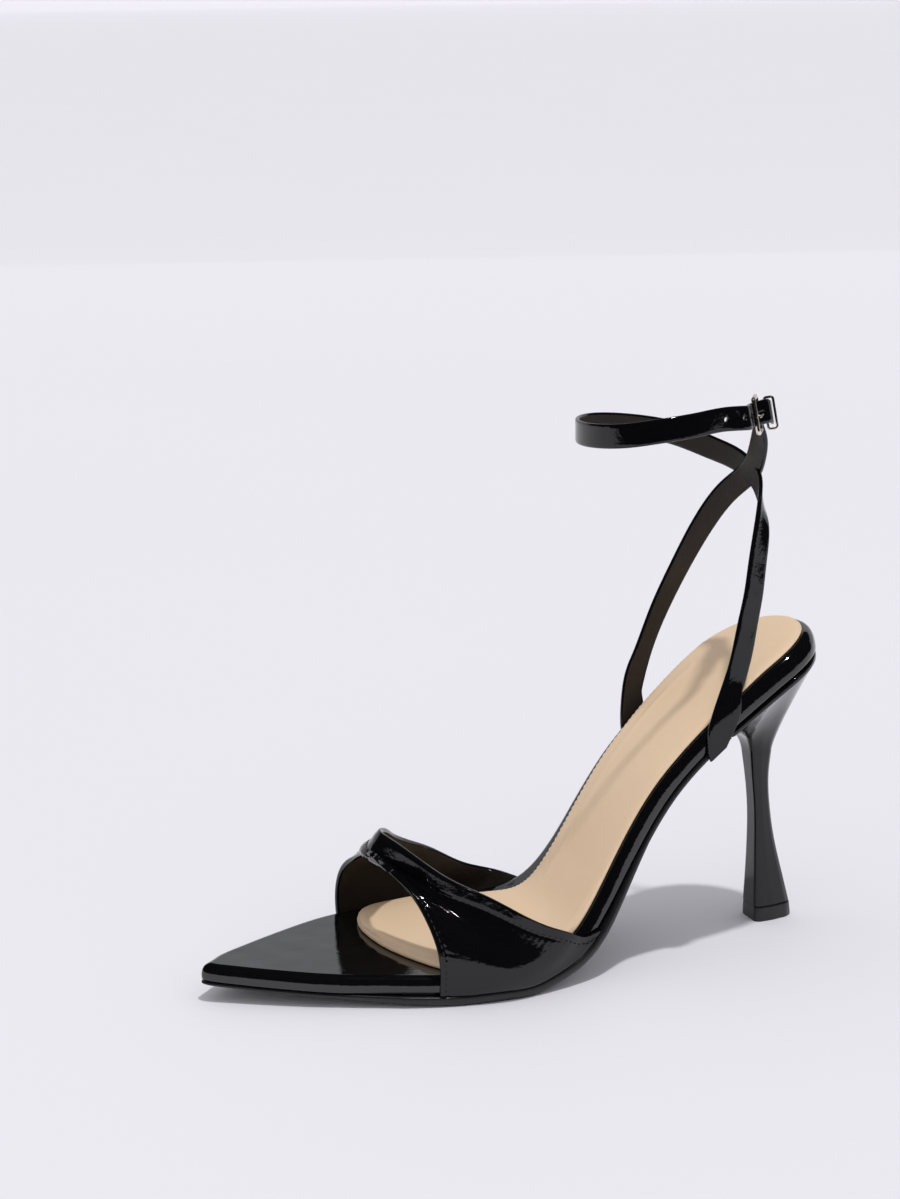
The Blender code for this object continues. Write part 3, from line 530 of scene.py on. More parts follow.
def patent_finish(name, wave, crinkle, ior=1.5):
    """Black patent leather: a deep black under a clear film that is faintly wavy and finely crinkled."""
    recipe = Recipe(name, IOR=ior)
    tone = recipe.noise(45.0, 3.0)
    darks = (0.0016, 0.0016, 0.002), (0.0035, 0.0035, 0.0045)
    recipe.feed("Base Color", recipe.mix(tone, *darks))
    recipe.feed("Roughness", recipe.noise(160.0, 3.0) * 0.05 + 0.03)
    waves = recipe.noise(70.0, 1.0)
    crinkles = recipe.noise(430.0, 3.0, 0.6, distortion=0.6)
    film = recipe.noise(1500.0, 2.0, 0.5)
    recipe.bump((waves, 0.0011 * wave), (crinkles, 0.00016 * crinkle), (film, 0.000012))
    return recipe.material


def grained_finish(name, grain, tones, roughness, depth, cloud=None, **settings):
    """Colour between two tones by a cloud, or else by the grain, which also roughens the surface."""
    recipe = Recipe(name, **settings)
    grain = recipe.noise(*grain)
    cloud = recipe.noise(*cloud) if cloud else grain
    recipe.feed("Base Color", recipe.mix(cloud, *tones))
    recipe.feed("Roughness", grain * roughness[0] + roughness[1])
    recipe.bump((grain, depth))
    return recipe.material


def sock_finish():
    """Beige sock leather: soft, nearly matte, with a fine grain and slight cloudiness."""
    recipe = Recipe("beige_sock", IOR=1.45)
    cloud = recipe.noise(30.0, 4.0, 0.6)
    grain = recipe.noise(1100.0, 3.0, 0.6)
    tone = recipe.mix(cloud, (0.79, 0.575, 0.38), (0.85, 0.645, 0.44))
    recipe.feed("Base Color", recipe.mix(grain * 0.25, tone, (0.66, 0.46, 0.30)))
    recipe.feed("Roughness", grain * 0.2 + 0.42)
    recipe.bump((grain, 0.00005), (recipe.noise(260.0, 2.0), 0.00006))
    return recipe.material


def floor_finish():
    """Pale seamless studio paper."""
    recipe = Recipe("pale_paper", IOR=1.3)
    cloud = recipe.noise(2.0, 2.0)
    recipe.feed("Base Color", recipe.mix(cloud, (0.80, 0.79, 0.835), (0.815, 0.80, 0.845)))
    recipe.shader.inputs["Roughness"].default_value = 0.75
    return recipe.material


FINISHES = {
    "patent": patent_finish("black_patent", 0.3, 0.45),
    "smooth_patent": patent_finish("smooth_patent", 0.3, 0.25),
    "board_patent": patent_finish("board_patent", 0.25, 0.25, 1.7),
    "strap_patent": patent_finish("strap_patent", 0.22, 0.3),
    "lining": grained_finish(
        "brown_lining", (900.0, 4.0, 0.65), ((0.010, 0.0075, 0.0055), (0.034, 0.024, 0.017)),
        (0.25, 0.42), 0.0001, cloud=(60.0, 3.0), IOR=1.45,
    ),
    "sock": sock_finish(),
    "outsole": grained_finish(
        "black_sole", (1300.0, 3.0, 0.6), ((0.007, 0.007, 0.008), (0.014, 0.014, 0.016)),
        (0.15, 0.22), 0.00003, cloud=(80.0, 3.0), IOR=1.5,
    ),
    "metal": grained_finish(
        "pale_gold", (700.0, 3.0, 0.6, (1.0, 1.0, 0.15)), ((0.80, 0.73, 0.60), (0.90, 0.86, 0.76)),
        (0.14, 0.08), 0.00001, Metallic=1.0,
    ),
    "thread": grained_finish(
        "black_thread", (2600.0, 1.0, 0.5, (1.0, 0.4, 1.6)), ((0.006, 0.006, 0.007), (0.02, 0.02, 0.022)),
        (0.2, 0.3), 0.00004, IOR=1.5,
    ),
    "floor": floor_finish(),
    # painted dark reflection: a near-black sheet that only mirror images see, standing in for the unlit room
    # in front
    "dark_reflection_card": Recipe("dark_reflection_card", Base_Color=(0.004, 0.004, 0.004, 1), Roughness=1.0).material,
    # painted pale reflection: a sheet that glows but lights nothing, seen only in mirror images, standing in
    # for the lit paper behind
    "glowing_reflection_card": Recipe(
        "glowing_reflection_card",
        Base_Color=(0, 0, 0, 1),
        Roughness=1.0,
        Emission_Color=(0.53, 0.54, 0.57, 1),
        Emission_Strength=1.0,
    ).material,
}


# Mesh making


def added(name, data):
    """A new object of the scene that holds the data."""
    made = bpy.data.objects.new(name, data)
    bpy.context.scene.collection.objects.link(made)
    return made


def place_mesh(name, points, faces, finishes, kinds=None, sharp=None):
    """An object from arrays of points and four-cornered faces; kinds picks each face's finish."""
    data = bpy.data.meshes.new(name)
    data.vertices.add(len(points))
    data.vertices.foreach_set("co", np.ascontiguousarray(points, np.float32).ravel())
    data.loops.add(faces.size)
    data.loops.foreach_set("vertex_index", np.ascontiguousarray(faces, np.int32).ravel())
    data.polygons.add(len(faces))
    data.polygons.foreach_set("loop_start", np.arange(0, faces.size, faces.shape[1], dtype=np.int32))
    for finish in finishes:
        data.materials.append(FINISHES[finish])
    if kinds is not None:
        data.polygons.foreach_set("material_index", np.ascontiguousarray(kinds, np.int32))
    data.update(calc_edges=True)
    mesh = bmesh.new()
    mesh.from_mesh(data)
    bmesh.ops.remove_doubles(mesh, verts=mesh.verts, dist=2e-6)
    bmesh.ops.dissolve_degenerate(mesh, dist=1e-6, edges=mesh.edges)
    bmesh.ops.recalc_face_normals(mesh, faces=mesh.faces)
    mesh.to_mesh(data)
    mesh.free()
    data.shade_smooth()
    if sharp:
        data.set_sharp_from_angle(angle=math.radians(sharp))
    return added(name, data)


def quads(index):
    """Four-cornered faces of a grid of point numbers."""
    corners = (index[:-1, :-1], index[:-1, 1:], index[1:, 1:], index[1:, :-1])
    return np.stack(corners, axis=-1).reshape(-1, 4)


def stack(name, grids, finishes, first_kind=0, sharp=None):
    """A closed form from grids laid over one another: the first and last close it, and the edges of
    neighbouring grids are joined by walls. first_kind is the finish of the first grid's faces."""
    rows, columns = grids[0].shape[:2]
    index = np.arange(rows * columns).reshape(rows, columns)
    border = np.concatenate([index[0, :-1], index[:-1, -1], index[-1, :0:-1], index[:0:-1, 0]])
    middle = np.stack([grid.reshape(-1, 3)[border] for grid in grids[1:-1]])
    points = np.concatenate([grids[0].reshape(-1, 3), middle.reshape(-1, 3), grids[-1].reshape(-1, 3)])
    inner = index.size + np.arange(len(middle) * len(border)).reshape(len(middle), -1)
    top = index.size + inner.size + index
    rings = np.concatenate([border[None], inner, (index.size + inner.size + border)[None]])
    rings = np.concatenate([rings, rings[:, :1]], axis=1)
    walls = quads(rings)
    faces = np.concatenate([quads(index), walls, quads(top)])
    kinds = np.zeros(len(faces), int)
    kinds[: len(quads(index))] = first_kind
    return place_mesh(name, points, faces, finishes, kinds, sharp)


def tube(name, loops, finishes, kinds=None, closed=False, sharp=None):
    """A skin through loops of points, shape (length, round, 3), closed on itself or by pinched ends."""
    if not closed:
        ends = [loops[:1].mean(axis=1, keepdims=True), loops[-1:].mean(axis=1, keepdims=True)]
        small = [end + 0.5 * (loop - end) for end, loop in zip(ends, (loops[:1], loops[-1:]))]
        pinch = [end + 0 * loop for end, loop in zip(ends, (loops[:1], loops[-1:]))]
        loops = np.concatenate([pinch[0], small[0], loops, small[1], pinch[1]])
    count, turns = loops.shape[:2]
    index = np.arange(count * turns).reshape(count, turns)
    if closed:
        index = np.concatenate([index, index[:1]])
    index = np.concatenate([index, index[:, :1]], axis=1)
    if kinds is not None:
        kinds = np.broadcast_to(kinds, (len(index) - 1, turns)).ravel()
    return place_mesh(name, loops.reshape(-1, 3), quads(index), finishes, kinds, sharp)


def rounded(table, count):
    """A table of (inset, share) refined by a spline along it."""
    return along(np.array(table), count)


# Bottom pieces


def board():
    """Levels of the outline, each moved in and raised as the rounded side says, closed on top."""
    grids = []
    for inset, share in rounded(BOARD_SIDE, 25):
        flat = across(paired_sides(220, inset * BOARD_THICKNESS), 33, 0.8)
        grids.append(bent(flat, board_thickness(flat[..., 0]) * share))
    return stack("board_patent_cover", grids, ["board_patent"])


def outsole():
    """Levels of the outline under the board, widened by the flange where the vamp stands on it."""
    stop = station(HEEL_BREAST) - 2 * GAP
    flange_reach = [station(y) for y in (-1.6 * VAMP_FRONT, -VAMP_FRONT, VAMP_BACK, 1.5 * VAMP_BACK)]
    grids = []
    for inset, depth in rounded(OUTSOLE_SIDE, 13):
        outer, inner = paired_sides(220, inset * outsole_thickness(0), stop=stop)
        for edge, outward in ((outer, 1), (inner, -1)):
            flange = np.interp(edge[:, 0], flange_reach, [-0.2, 1.0, 1.0, 0.1]) * OUTSOLE_FLANGE
            ends = np.clip((edge[:, 0] - edge[0, 0]) / (4 * OUTSOLE_FLANGE), 0, 1)
            edge[:, 1] += outward * flange * ends
        flat = across((outer, inner), 29, 0.8)
        points = bent(flat, -outsole_thickness(flat[..., 0]) * depth)
        points[..., 2] = np.maximum(points[..., 2], 0)
        grids.append(points)
    return stack("moulded_outsole", grids, ["outsole"])


def sock_sides(count, move):
    """The sock's two edges moved in by a distance, from the nose under the toes to the back of the seat."""
    start = station(-SOCK_FRONT) + move
    outer, inner = paired_sides(count, SOCK_MARGIN + move, start=start, even=False)
    closeness = np.clip((outer[-1, 0] - outer[:, 0]) / station(0.3 * TREAD_TO_HEEL), 0, 1)
    outer[:, 1] += (SOCK_MARGIN - SOCK_OUTER_MARGIN) * np.sin(math.pi / 2 * closeness)
    reach = [station(run_to_y(run)) for run, _ in SOCK_ARCH]
    arch = spline(reach, [share for _, share in SOCK_ARCH])
    inner[:, 1] += WAIST_WIDTH * arch(np.clip(inner[:, 0], reach[0], reach[-1]))
    behind = (outer[:, 0] - start) / SOCK_FRONT
    nose = SOCK_NOSE_AT * BALL_WIDTH
    for edge, column in ((outer, 1), (inner, 2)):
        spread = np.interp(behind, [row[0] for row in SOCK_NOSE], [row[column] for row in SOCK_NOSE])
        edge[:, 1] = nose + (edge[:, 1] - nose) * spread
    return outer, inner


def sock_fold(flat, from_inner):
    """A soft lengthwise fold beside the arch: exp(-(d / width)^2), faded in and out along the last."""
    fold_place = 0.0088 + 0.0012 * np.sin(flat[..., 0] * 45 + 0.6)
    fold = np.exp(-(((from_inner - fold_place) / 0.0013) ** 2))
    fade_in = smooth(station(0.015), station(0.045), flat[..., 0])
    return fold * fade_in * (1 - smooth(station(0.090), station(0.112), flat[..., 0]))


def sock_level(flat, share):
    """Height of the sock's skin over the last's bottom at a share of the sock's thickness."""
    return board_thickness(flat[..., 0]) + 0.6 * GAP + sock_thickness(flat[..., 0]) * share


def sock():
    """A padded sheet: level = f + (1 - f) sqrt(1 - (1 - d/r)^2) by the distance d from its outline, then
    a shallow cushion and a soft fold."""
    radius = 0.95 * SOCK_THICKNESS
    low = 0.26
    start = 0.10
    rim = low + (1 - low) * math.sqrt(1 - (1 - start / 0.95) ** 2)
    side = ((0.40, 0.0), (0.12, 0.0), (0.03, 0.10), (0.0, low), (0.02, 0.42), (0.06, 0.52), (start, rim))
    grids = []
    for inset, share in side:
        flat = across(sock_sides(300, inset * SOCK_THICKNESS), 61, 0.8)
        grids.append(bent(flat, sock_level(flat, share)))
    outer, inner = sock_sides(300, 0)
    outline = np.concatenate([outer[:-1:2], inner[::-2]]).astype(np.float32)
    away = flat.reshape(-1, 1, 2).astype(np.float32) - outline[None]
    distance = np.sqrt((away**2).sum(axis=-1).min(axis=-1)).reshape(flat.shape[:2])
    share = low + (1 - low) * np.sqrt(1 - (1 - np.clip(distance / radius, start / 0.95, 1)) ** 2)
    width = np.maximum(flat[:, -1:, 1] - flat[:, :1, 1], 1e-4)
    cushion = 0.0004 * smooth(0, 1, np.clip(distance / 0.012, 0, 1))
    from_inner = flat[..., 1] - flat[:, :1, 1]
    fold = sock_fold(flat, from_inner) * smooth(0.0, 0.25, from_inner / width)
    grids.append(bent(flat, sock_level(flat, share) + cushion + 0.0005 * fold))
    return stack("padded_sock", grids, ["sock"])


# Heel


def heel_loop(height, breast, back, width, count=96):
    """A level section: five facets a side from the breast to the back, its corners eased by averaging."""
    table = np.array(HEEL_FACETS)
    half = np.stack([table[:, 1] * width / 2, breast + (back - breast) * table[:, 0]], axis=-1)
    loop = np.concatenate([[[0, breast]], half, [[0, back]], half[::-1] * [-1, 1], [[0, breast]]])
    reach = reach_of(loop)
    where = np.linspace(0, reach[-1], 4 * count + 1)[:-1]
    fine = on_line(where, reach, loop)
    eased = sum(np.roll(fine, shift, axis=0) for shift in range(-6, 7)) / 13
    return np.concatenate([eased[::4], np.full((count, 1), height)], axis=1)


def seat_loop(inset, level, like):
    """The seat's outline behind the breast at a level, its points at the same shares as like's."""
    outer, inner = paired_sides(400, inset, start=station(HEEL_BREAST))
    front = np.array([[outer[0, 0], 0.0]])
    loop = np.concatenate([front, outer, inner[::-1], front])
    reach = reach_of(loop)
    own = reach_of(np.concatenate([like, like[:1]]))
    corner = HEEL_FACETS[0][1] * np.ptp(like[:, 0]) / 2 / own[-1]
    seat_corner = reach[1] / reach[-1]
    marks = [0, corner, 0.5, 1 - corner, 1]
    seat_marks = [0, seat_corner, 0.5, 1 - seat_corner, 1]
    where = np.interp(own[:-1] / own[-1], marks, seat_marks) * reach[-1]
    return bent(on_line(where, reach, loop), level)


def heel_cover():
    """Level sections on splines up the stem, then (1-t)^2 stem + 2t(1-t) bow + t^2 rim out to the seat."""
    table = np.array(HEEL_SECTIONS)
    reach = spline(table[:, 0], table[:, 1:])
    foot = (TOP_PIECE_HEIGHT + GAP) / HEEL_STEM_HEIGHT
    loops = []
    for share in np.linspace(foot, 1, 60):
        breast, back, width = reach(share)
        near = HEEL_TIP_BREAST + breast * HEEL_TIP_DEPTH
        far = HEEL_TIP_BREAST + back * HEEL_TIP_DEPTH
        loops.append(heel_loop(share * HEEL_STEM_HEIGHT, near, far, width * HEEL_TIP_WIDTH))
    stem = loops[-1]
    rim = seat_loop(HEEL_COVER_INSET, -HEEL_COVER_EDGE, stem)
    rise = rim[:, 2].mean() - HEEL_STEM_HEIGHT
    back = (stem[:, 1] - stem[:, 1].min()) / np.ptp(stem[:, 1])
    bow = stem + rise * np.stack([0 * back, -0.06 + 0.06 * back, 0.42 - 0.24 * back], axis=-1)
    for t in np.linspace(0, 1, 49)[1:]:
        loops.append((1 - t) ** 2 * stem + 2 * t * (1 - t) * bow + t**2 * rim)
    for inset, level in ((0.85, -0.8), (0.75, -0.5), (0.9, -0.25), (1.4, -0.15)):
        loops.append(seat_loop(inset * HEEL_COVER_INSET, level * HEEL_COVER_EDGE, stem))
    return tube("heel_patent_cover", np.array(loops), ["smooth_patent"], sharp=50)


def heel_lift():
    """The heel's foot section, flared a little towards the floor, with eased rims."""
    section = HEEL_SECTIONS[0]
    loops = []
    for share, spread in ((0, 0.965), (0.04, 0.992), (0.12, 1.0), (0.90, 0.972), (0.97, 0.962), (1.0, 0.94)):
        back = HEEL_TIP_BREAST + section[2] * HEEL_TIP_DEPTH * (1.05 * spread)
        near = HEEL_TIP_BREAST + (1 - spread) * 0.3 * HEEL_TIP_DEPTH
        loops.append(heel_loop(share * TOP_PIECE_HEIGHT, near, back, HEEL_TIP_WIDTH * spread))
    return tube("heel_lift", np.array(loops), ["outsole"], sharp=50)


# Vamp


def vamp_point(row):
    length = VAMP_FRONT if row[1] < 0 else VAMP_BACK
    return (row[0] * BALL_WIDTH / 2, row[1] * length, row[2] * INSTEP_HEIGHT)


def foot_line(side, share):
    """Where the vamp's wall stands on the outsole beside the board, share 0 in front and 1 behind."""
    first, last = VAMP_FEET["outer" if side > 0 else "inner"]
    y = first * VAMP_FRONT + (last * VAMP_BACK - first * VAMP_FRONT) * share
    x = edge_at(y, side) + side * (GAP + LEATHER / 2)
    return bent(np.stack([station(y), x], axis=-1), 2 * GAP)


VAMP_COLUMNS = 261
FOOT_ENDS = {side: foot_line(side, np.array([0.0, 1.0])) for side in (1, -1)}
FRONT_CURVE, BACK_CURVE = (
    along([FOOT_ENDS[1][end]] + [vamp_point(row) for row in edge] + [FOOT_ENDS[-1][end]], VAMP_COLUMNS)
    for end, edge in enumerate((VAMP_FRONT_EDGE, VAMP_BACK_EDGE))
)
VAMP_SPREAD = np.linalg.norm(BACK_CURVE - FRONT_CURVE, axis=1)


def vamp_rows():
    """Shares from the front to the back edge, close together within 3 mm of both."""
    near = np.array([0, 0.25, 0.5, 0.8, 1.1, 1.4, 1.65, 1.85, 2.0, 2.15, 2.35, 2.6, 3.0])[:, None] / 1000
    near = near / VAMP_SPREAD
    centre = near[-1] + (1 - 2 * near[-1]) * np.linspace(0, 1, 34)[1:-1, None]
    return np.concatenate([near, centre, 1 - near[::-1]])


def vamp_surface(v):
    """Blend of the two edges and the two foot lines, less the blend of the corners, plus a swell."""
    u = np.linspace(0, 1, VAMP_COLUMNS)[None, :, None]
    outer_foot, inner_foot = foot_line(1, v), foot_line(-1, v)
    v = v[..., None]
    ruled = (1 - v) * FRONT_CURVE + v * BACK_CURVE
    feet = (1 - u) * outer_foot + u * inner_foot
    front_corners = (1 - u) * FRONT_CURVE[0] + u * FRONT_CURVE[-1]
    back_corners = (1 - u) * BACK_CURVE[0] + u * BACK_CURVE[-1]
    middle = ruled + feet - (1 - v) * front_corners - v * back_corners
    crown = VAMP_CROWN * np.exp(-(((u - 0.60) / 0.11) ** 2)) * (0.7 + 0.6 * v)
    swell = (VAMP_SWELL * VAMP_SPREAD[None, :, None] + 0.5 * LEATHER) * 4 * v * (1 - v)
    swell = (swell + crown * np.sin(math.pi * v) ** 0.6) * np.sin(math.pi * u) ** 0.5
    return middle + swell * vamp_outward(middle)


def vamp_outward(middle):
    outward = unit(np.cross(np.gradient(middle, axis=0), np.gradient(middle, axis=1)))
    centre = np.array([0.0, 0.0, 0.2 * INSTEP_HEIGHT])
    return outward * np.sign(np.sum(outward * (middle - centre), axis=-1, keepdims=True))


def vamp_relief(v):
    """Folded edge, the groove of the stitching and the puckers that run out of it, by distance in."""
    reach_front, reach_back = reach_of(FRONT_CURVE), reach_of(BACK_CURVE)
    relief = np.zeros_like(v)
    for distance, reach in ((v * VAMP_SPREAD, reach_front), ((1 - v) * VAMP_SPREAD, reach_back)):
        fold = 0.00016 * (1 - smooth(0.0012, 0.0020, distance))
        groove = -0.00016 * np.exp(-(((distance - STITCH_INSET) / 0.0004) ** 2))
        fade = np.exp(-np.clip(distance - STITCH_INSET, 0, None) / 0.0022) * smooth(0.0008, 0.002, distance)
        turn = 2 * math.pi * reach / STITCH_PITCH
        wave = np.sin(turn) + 0.6 * np.sin(turn / 2.7 + 1)
        relief += fold + groove + 0.00005 * fade * wave
    return relief


def vamp_upper():
    """The wall: its lining face, a half round turn at each edge and its patent face with relief."""
    v = vamp_rows()
    middle = vamp_surface(v)
    outward = vamp_outward(middle)
    pull = unit(BACK_CURVE - FRONT_CURVE)[None] * (1 - 2 * v)[..., None]
    relief = vamp_relief(v)[..., None]
    grids = []
    for turn in np.radians(np.linspace(-90, 90, 11)):
        level = 0.5 * LEATHER * math.sin(turn)
        inset = 0.5 * LEATHER * (1 - math.cos(turn)) * 0.9
        grid = middle + level * outward + inset * pull
        if turn > 0:
            grid = grid + relief * outward * math.sin(turn)
        grids.append(grid)
    return stack("vamp_upper", grids, ["patent", "lining"], first_kind=1)


def stitches():
    """Small waxed threads along both edges: a capsule of radius r carried to evenly spaced places."""
    rows = []
    v = vamp_rows()
    middle = vamp_surface(v)
    outward = vamp_outward(middle)
    for row in (8, len(v) - 9):
        line = middle[row] + (0.5 * LEATHER + 0.00002) * outward[row]
        reach = reach_of(line)
        centres = np.arange(0.0015, reach[-1] - 0.0015, STITCH_PITCH)
        place = on_line(centres, reach, line)
        tangent = unit(on_line(centres + 0.0005, reach, line) - on_line(centres - 0.0005, reach, line))
        up = unit(on_line(centres, reach, outward[row]))
        side = np.cross(up, tangent)
        ends = np.linspace(-1, 1, 7)
        radius = 0.00021 * np.sqrt(np.clip(1 - ends**4, 0.02, 1))
        turn = np.linspace(0, 2 * math.pi, 9)[:-1]
        sink = -0.00012 * ends**2
        ring = (
            place[:, None, None]
            + (ends * STITCH_LENGTH / 2)[None, :, None, None] * tangent[:, None, None]
            + (radius[:, None] * np.cos(turn))[None, ..., None] * side[:, None, None]
            + (radius[:, None] * np.sin(turn) + sink[:, None])[None, ..., None] * up[:, None, None]
        )
        rows.append(ring)
    rings = np.concatenate(rows)
    count, length, turns = rings.shape[:3]
    index = np.arange(rings[..., 0].size).reshape(count, length, turns)
    index = np.concatenate([index, index[..., :1]], axis=2)
    corners = (index[:, :-1, :-1], index[:, :-1, 1:], index[:, 1:, 1:], index[:, 1:, :-1])
    faces = np.stack(corners, axis=-1).reshape(-1, 4)
    return place_mesh("vamp_stitches", rings.reshape(-1, 3), faces, ["thread"])


# Straps


def ankle_point(row):
    """A row's place round the ankle, from its shares of the ankle's width, length and height."""
    x = row[0] * ANKLE_WIDTH / 2
    y = ANKLE_CENTRE + row[1] * ANKLE_LENGTH / 2
    return np.array([x, y, SEAT_HEIGHT + row[2] * ANKLE_HEIGHT])


BUCKLE = ankle_point(BUCKLE_AT)
TURN = math.radians(BUCKLE_FACING)
LEAN = math.radians(BUCKLE_LEAN)
UP = np.array([0.0, 0.0, 1.0])
LEVEL_OUT = np.array([math.cos(TURN), math.sin(TURN), 0.0])
BUCKLE_FORWARD = np.array([LEVEL_OUT[1], -LEVEL_OUT[0], 0.0])
BUCKLE_UP = math.cos(LEAN) * UP - math.sin(LEAN) * LEVEL_OUT
BUCKLE_OUT = math.cos(LEAN) * LEVEL_OUT + math.sin(LEAN) * UP


def at_buckle(forward, up, out):
    return BUCKLE + forward * BUCKLE_FORWARD + up * BUCKLE_UP + out * BUCKLE_OUT


def root_edges(table, side):
    """The strap's two edges where it lies on the side of the board."""
    front, back, facing = [], [], []
    for level, near, far in table:
        for share, edge in ((near, front), (far, back)):
            y = ANKLE_CENTRE + share * ANKLE_LENGTH / 2
            x = edge_at(y, side) + side * (GAP + STRAP_THICKNESS / 2)
            edge.append(bent(np.array([station(y), x]), level * BOARD_THICKNESS))
        facing.append(np.array([side, 0.0, 0.0]))
    return front, back, facing


def strap_line(root, side, table, end):
    """The strap's two edge curves and the way it faces, as splines over the distance along its middle."""
    half = BUCKLE_LENGTH / 2
    centres = [ankle_point(row) for row in table]
    centres += [at_buckle(forward * half, up * half, out * BUCKLE_ROD) for forward, up, out, _ in end]
    centres = np.array(centres)
    turns = np.radians([row[3] for row in table + end])
    leans = np.array([0.0] * len(table) + [LEAN] * len(end))
    level = np.cos(leans)
    facings = np.stack([np.cos(turns) * level, np.sin(turns) * level, np.sin(leans)], axis=-1)
    tangent = unit(np.gradient(centres, axis=0))
    sideways = unit(np.cross(facings, tangent))
    first, second = list(centres - sideways * STRAP_WIDTH / 2), list(centres + sideways * STRAP_WIDTH / 2)
    root_front, root_back, root_facing = root_edges(root, side)
    if np.linalg.norm(first[0] - root_front[-1]) > np.linalg.norm(second[0] - root_front[-1]):
        first, second = second, first
    front, back = np.array(root_front + first), np.array(root_back + second)
    reach = reach_of((front + back) / 2)
    return reach, front, back, np.array(root_facing + list(facings))


def strap_loops(line, count, thickness):
    """Loops of a flat strap: two faces joined by half round edges of the strap's own thickness."""
    reach, front, back, facing = line
    where = np.linspace(0, reach[-1], count)
    front, back = spline(reach, front)(where), spline(reach, back)(where)
    facing = unit(on_line(where, reach, facing))
    middle = (front + back) / 2
    tangent = unit(np.gradient(middle, axis=0))
    span = back - front
    out = np.cross(tangent, span)
    out = unit(out) * np.sign(np.sum(out * facing, axis=1, keepdims=True))
    thick = np.interp(np.linspace(0, 1, count), np.linspace(0, 1, len(thickness)), thickness)
    half = np.linalg.norm(span, axis=1) / 2
    straight = np.linspace(-1, 1, 9)
    arc = np.radians(np.linspace(90, -90, 7))[1:-1]
    place = np.concatenate([straight, np.ones(5), straight[::-1], -np.ones(5)])
    edge = np.concatenate([np.zeros(9), np.cos(arc), np.zeros(9), -np.cos(arc)])
    lift = np.concatenate([np.ones(9), np.sin(arc), -np.ones(9), np.sin(arc[::-1])])
    ease = np.minimum(thick / 2, STRAP_THICKNESS / 2)
    sideways = place * (half - ease)[:, None] + edge * ease[:, None]
    raised = lift * thick[:, None] / 2
    loops = middle[:, None] + sideways[..., None] * unit(span)[:, None] + raised[..., None] * out[:, None]
    kinds = np.zeros(len(place), int)
    kinds[14:22] = 1
    return loops, kinds, middle, out


def strap_object(name, line, count, thickness):
    loops, kinds, middle, out = strap_loops(line, count, thickness)
    return tube(name, loops, ["strap_patent", "lining"], kinds, sharp=55), middle, out


def cut(piece, cutters):
    """Takes the cutters' room out of a piece and leaves its mesh without modifiers."""
    for cutter in cutters:
        change = piece.modifiers.new("way", "BOOLEAN")
        change.operation = "DIFFERENCE"
        change.solver = "EXACT"
        change.object = cutter
    graph = bpy.context.evaluated_depsgraph_get()
    changed = bpy.data.meshes.new_from_object(piece.evaluated_get(graph))
    old = piece.data
    piece.modifiers.clear()
    piece.data = changed
    bpy.data.meshes.remove(old)
    for cutter in cutters:
        bpy.data.objects.remove(cutter)
    return piece


def bar_cutter(place, radius, length, axes, sides=28):
    """A round bar along the third axis, or a box where radius holds two half sizes."""
    if isinstance(radius, tuple):
        corners = np.array([[1, 1], [-1, 1], [-1, -1], [1, -1]]) * radius
    else:
        turn = np.linspace(0, 2 * math.pi, sides + 1)[:-1]
        corners = radius * np.stack([np.cos(turn), np.sin(turn)], axis=-1)
    loops = np.array([place + corners @ axes[:2] + end * length / 2 * axes[2] for end in (-1, 1)])
    return tube("cutter", loops, ["outsole"])


def straps():
    """The long strap round the ankle and the short one that holds the buckle."""
    long_line = strap_line(OUTER_ROOT, 1, LONG_STRAP, LONG_END)
    long_piece, middle, out = strap_object("long_ankle_strap", long_line, 520, [STRAP_THICKNESS] * 2)
    loop = 2 * (BUCKLE_ROD / 2 + GAP + 0.7 * STRAP_THICKNESS)
    doubled = [STRAP_THICKNESS] * 16 + [1.3 * STRAP_THICKNESS] * 4 + [loop]
    short_line = strap_line(INNER_ROOT, -1, SHORT_STRAP, SHORT_END)
    short_piece, _, _ = strap_object("short_buckle_strap", short_line, 260, doubled)
    axes = np.stack([BUCKLE_FORWARD, BUCKLE_OUT, BUCKLE_UP])
    bar_place = at_buckle(-BUCKLE_LENGTH / 2, 0, 0)
    way = (1.5 * BUCKLE_ROD, 3 * BUCKLE_ROD)
    cutters = [
        bar_cutter(bar_place, BUCKLE_ROD / 2 + GAP, 2 * BUCKLE_HEIGHT, axes),
        bar_cutter(bar_place, way, PRONG_ROD + 4 * GAP, axes),
    ]
    cut(short_piece, cutters)
    reach = reach_of(middle)
    cutters = [bar_cutter(at_buckle(0, 0, 0), (2.2 * PRONG_ROD, 1.5 * BUCKLE_ROD), PRONG_ROD + 2 * GAP, axes)]
    for widths in STRAP_HOLES:
        where = reach[-1] - widths * STRAP_WIDTH
        place = on_line(where, reach, middle)
        normal = unit(on_line(where, reach, out))
        first = unit(np.cross(normal, UP))
        hole_axes = np.stack([first, np.cross(normal, first), normal])
        cutters.append(bar_cutter(place, STRAP_HOLE_RADIUS, 4 * STRAP_THICKNESS, hole_axes))
    cut(long_piece, cutters)
    return long_piece, short_piece


# Buckle


def wire(name, path, rod, facing, closed=True, taper=None):
    """A round rod carried along a path: centre + r (cos a side + sin a facing)."""
    path = np.asarray(path, float)
    if closed:
        before, after = np.roll(path, 1, axis=0), np.roll(path, -1, axis=0)
        tangent = unit(unit(path - before) + unit(after - path))
    else:
        tangent = unit(np.gradient(path, axis=0))
    side = unit(np.cross(tangent, facing))
    other = np.cross(side, tangent)
    turn = 2 * math.pi * np.arange(20) / 20
    radius = rod / 2 * (np.ones(len(path)) if taper is None else taper)
    cut_round = np.cos(turn)[None, :, None] * side[:, None] + np.sin(turn)[None, :, None] * other[:, None]
    return tube(name, path[:, None] + radius[:, None, None] * cut_round, ["metal"], closed=closed)


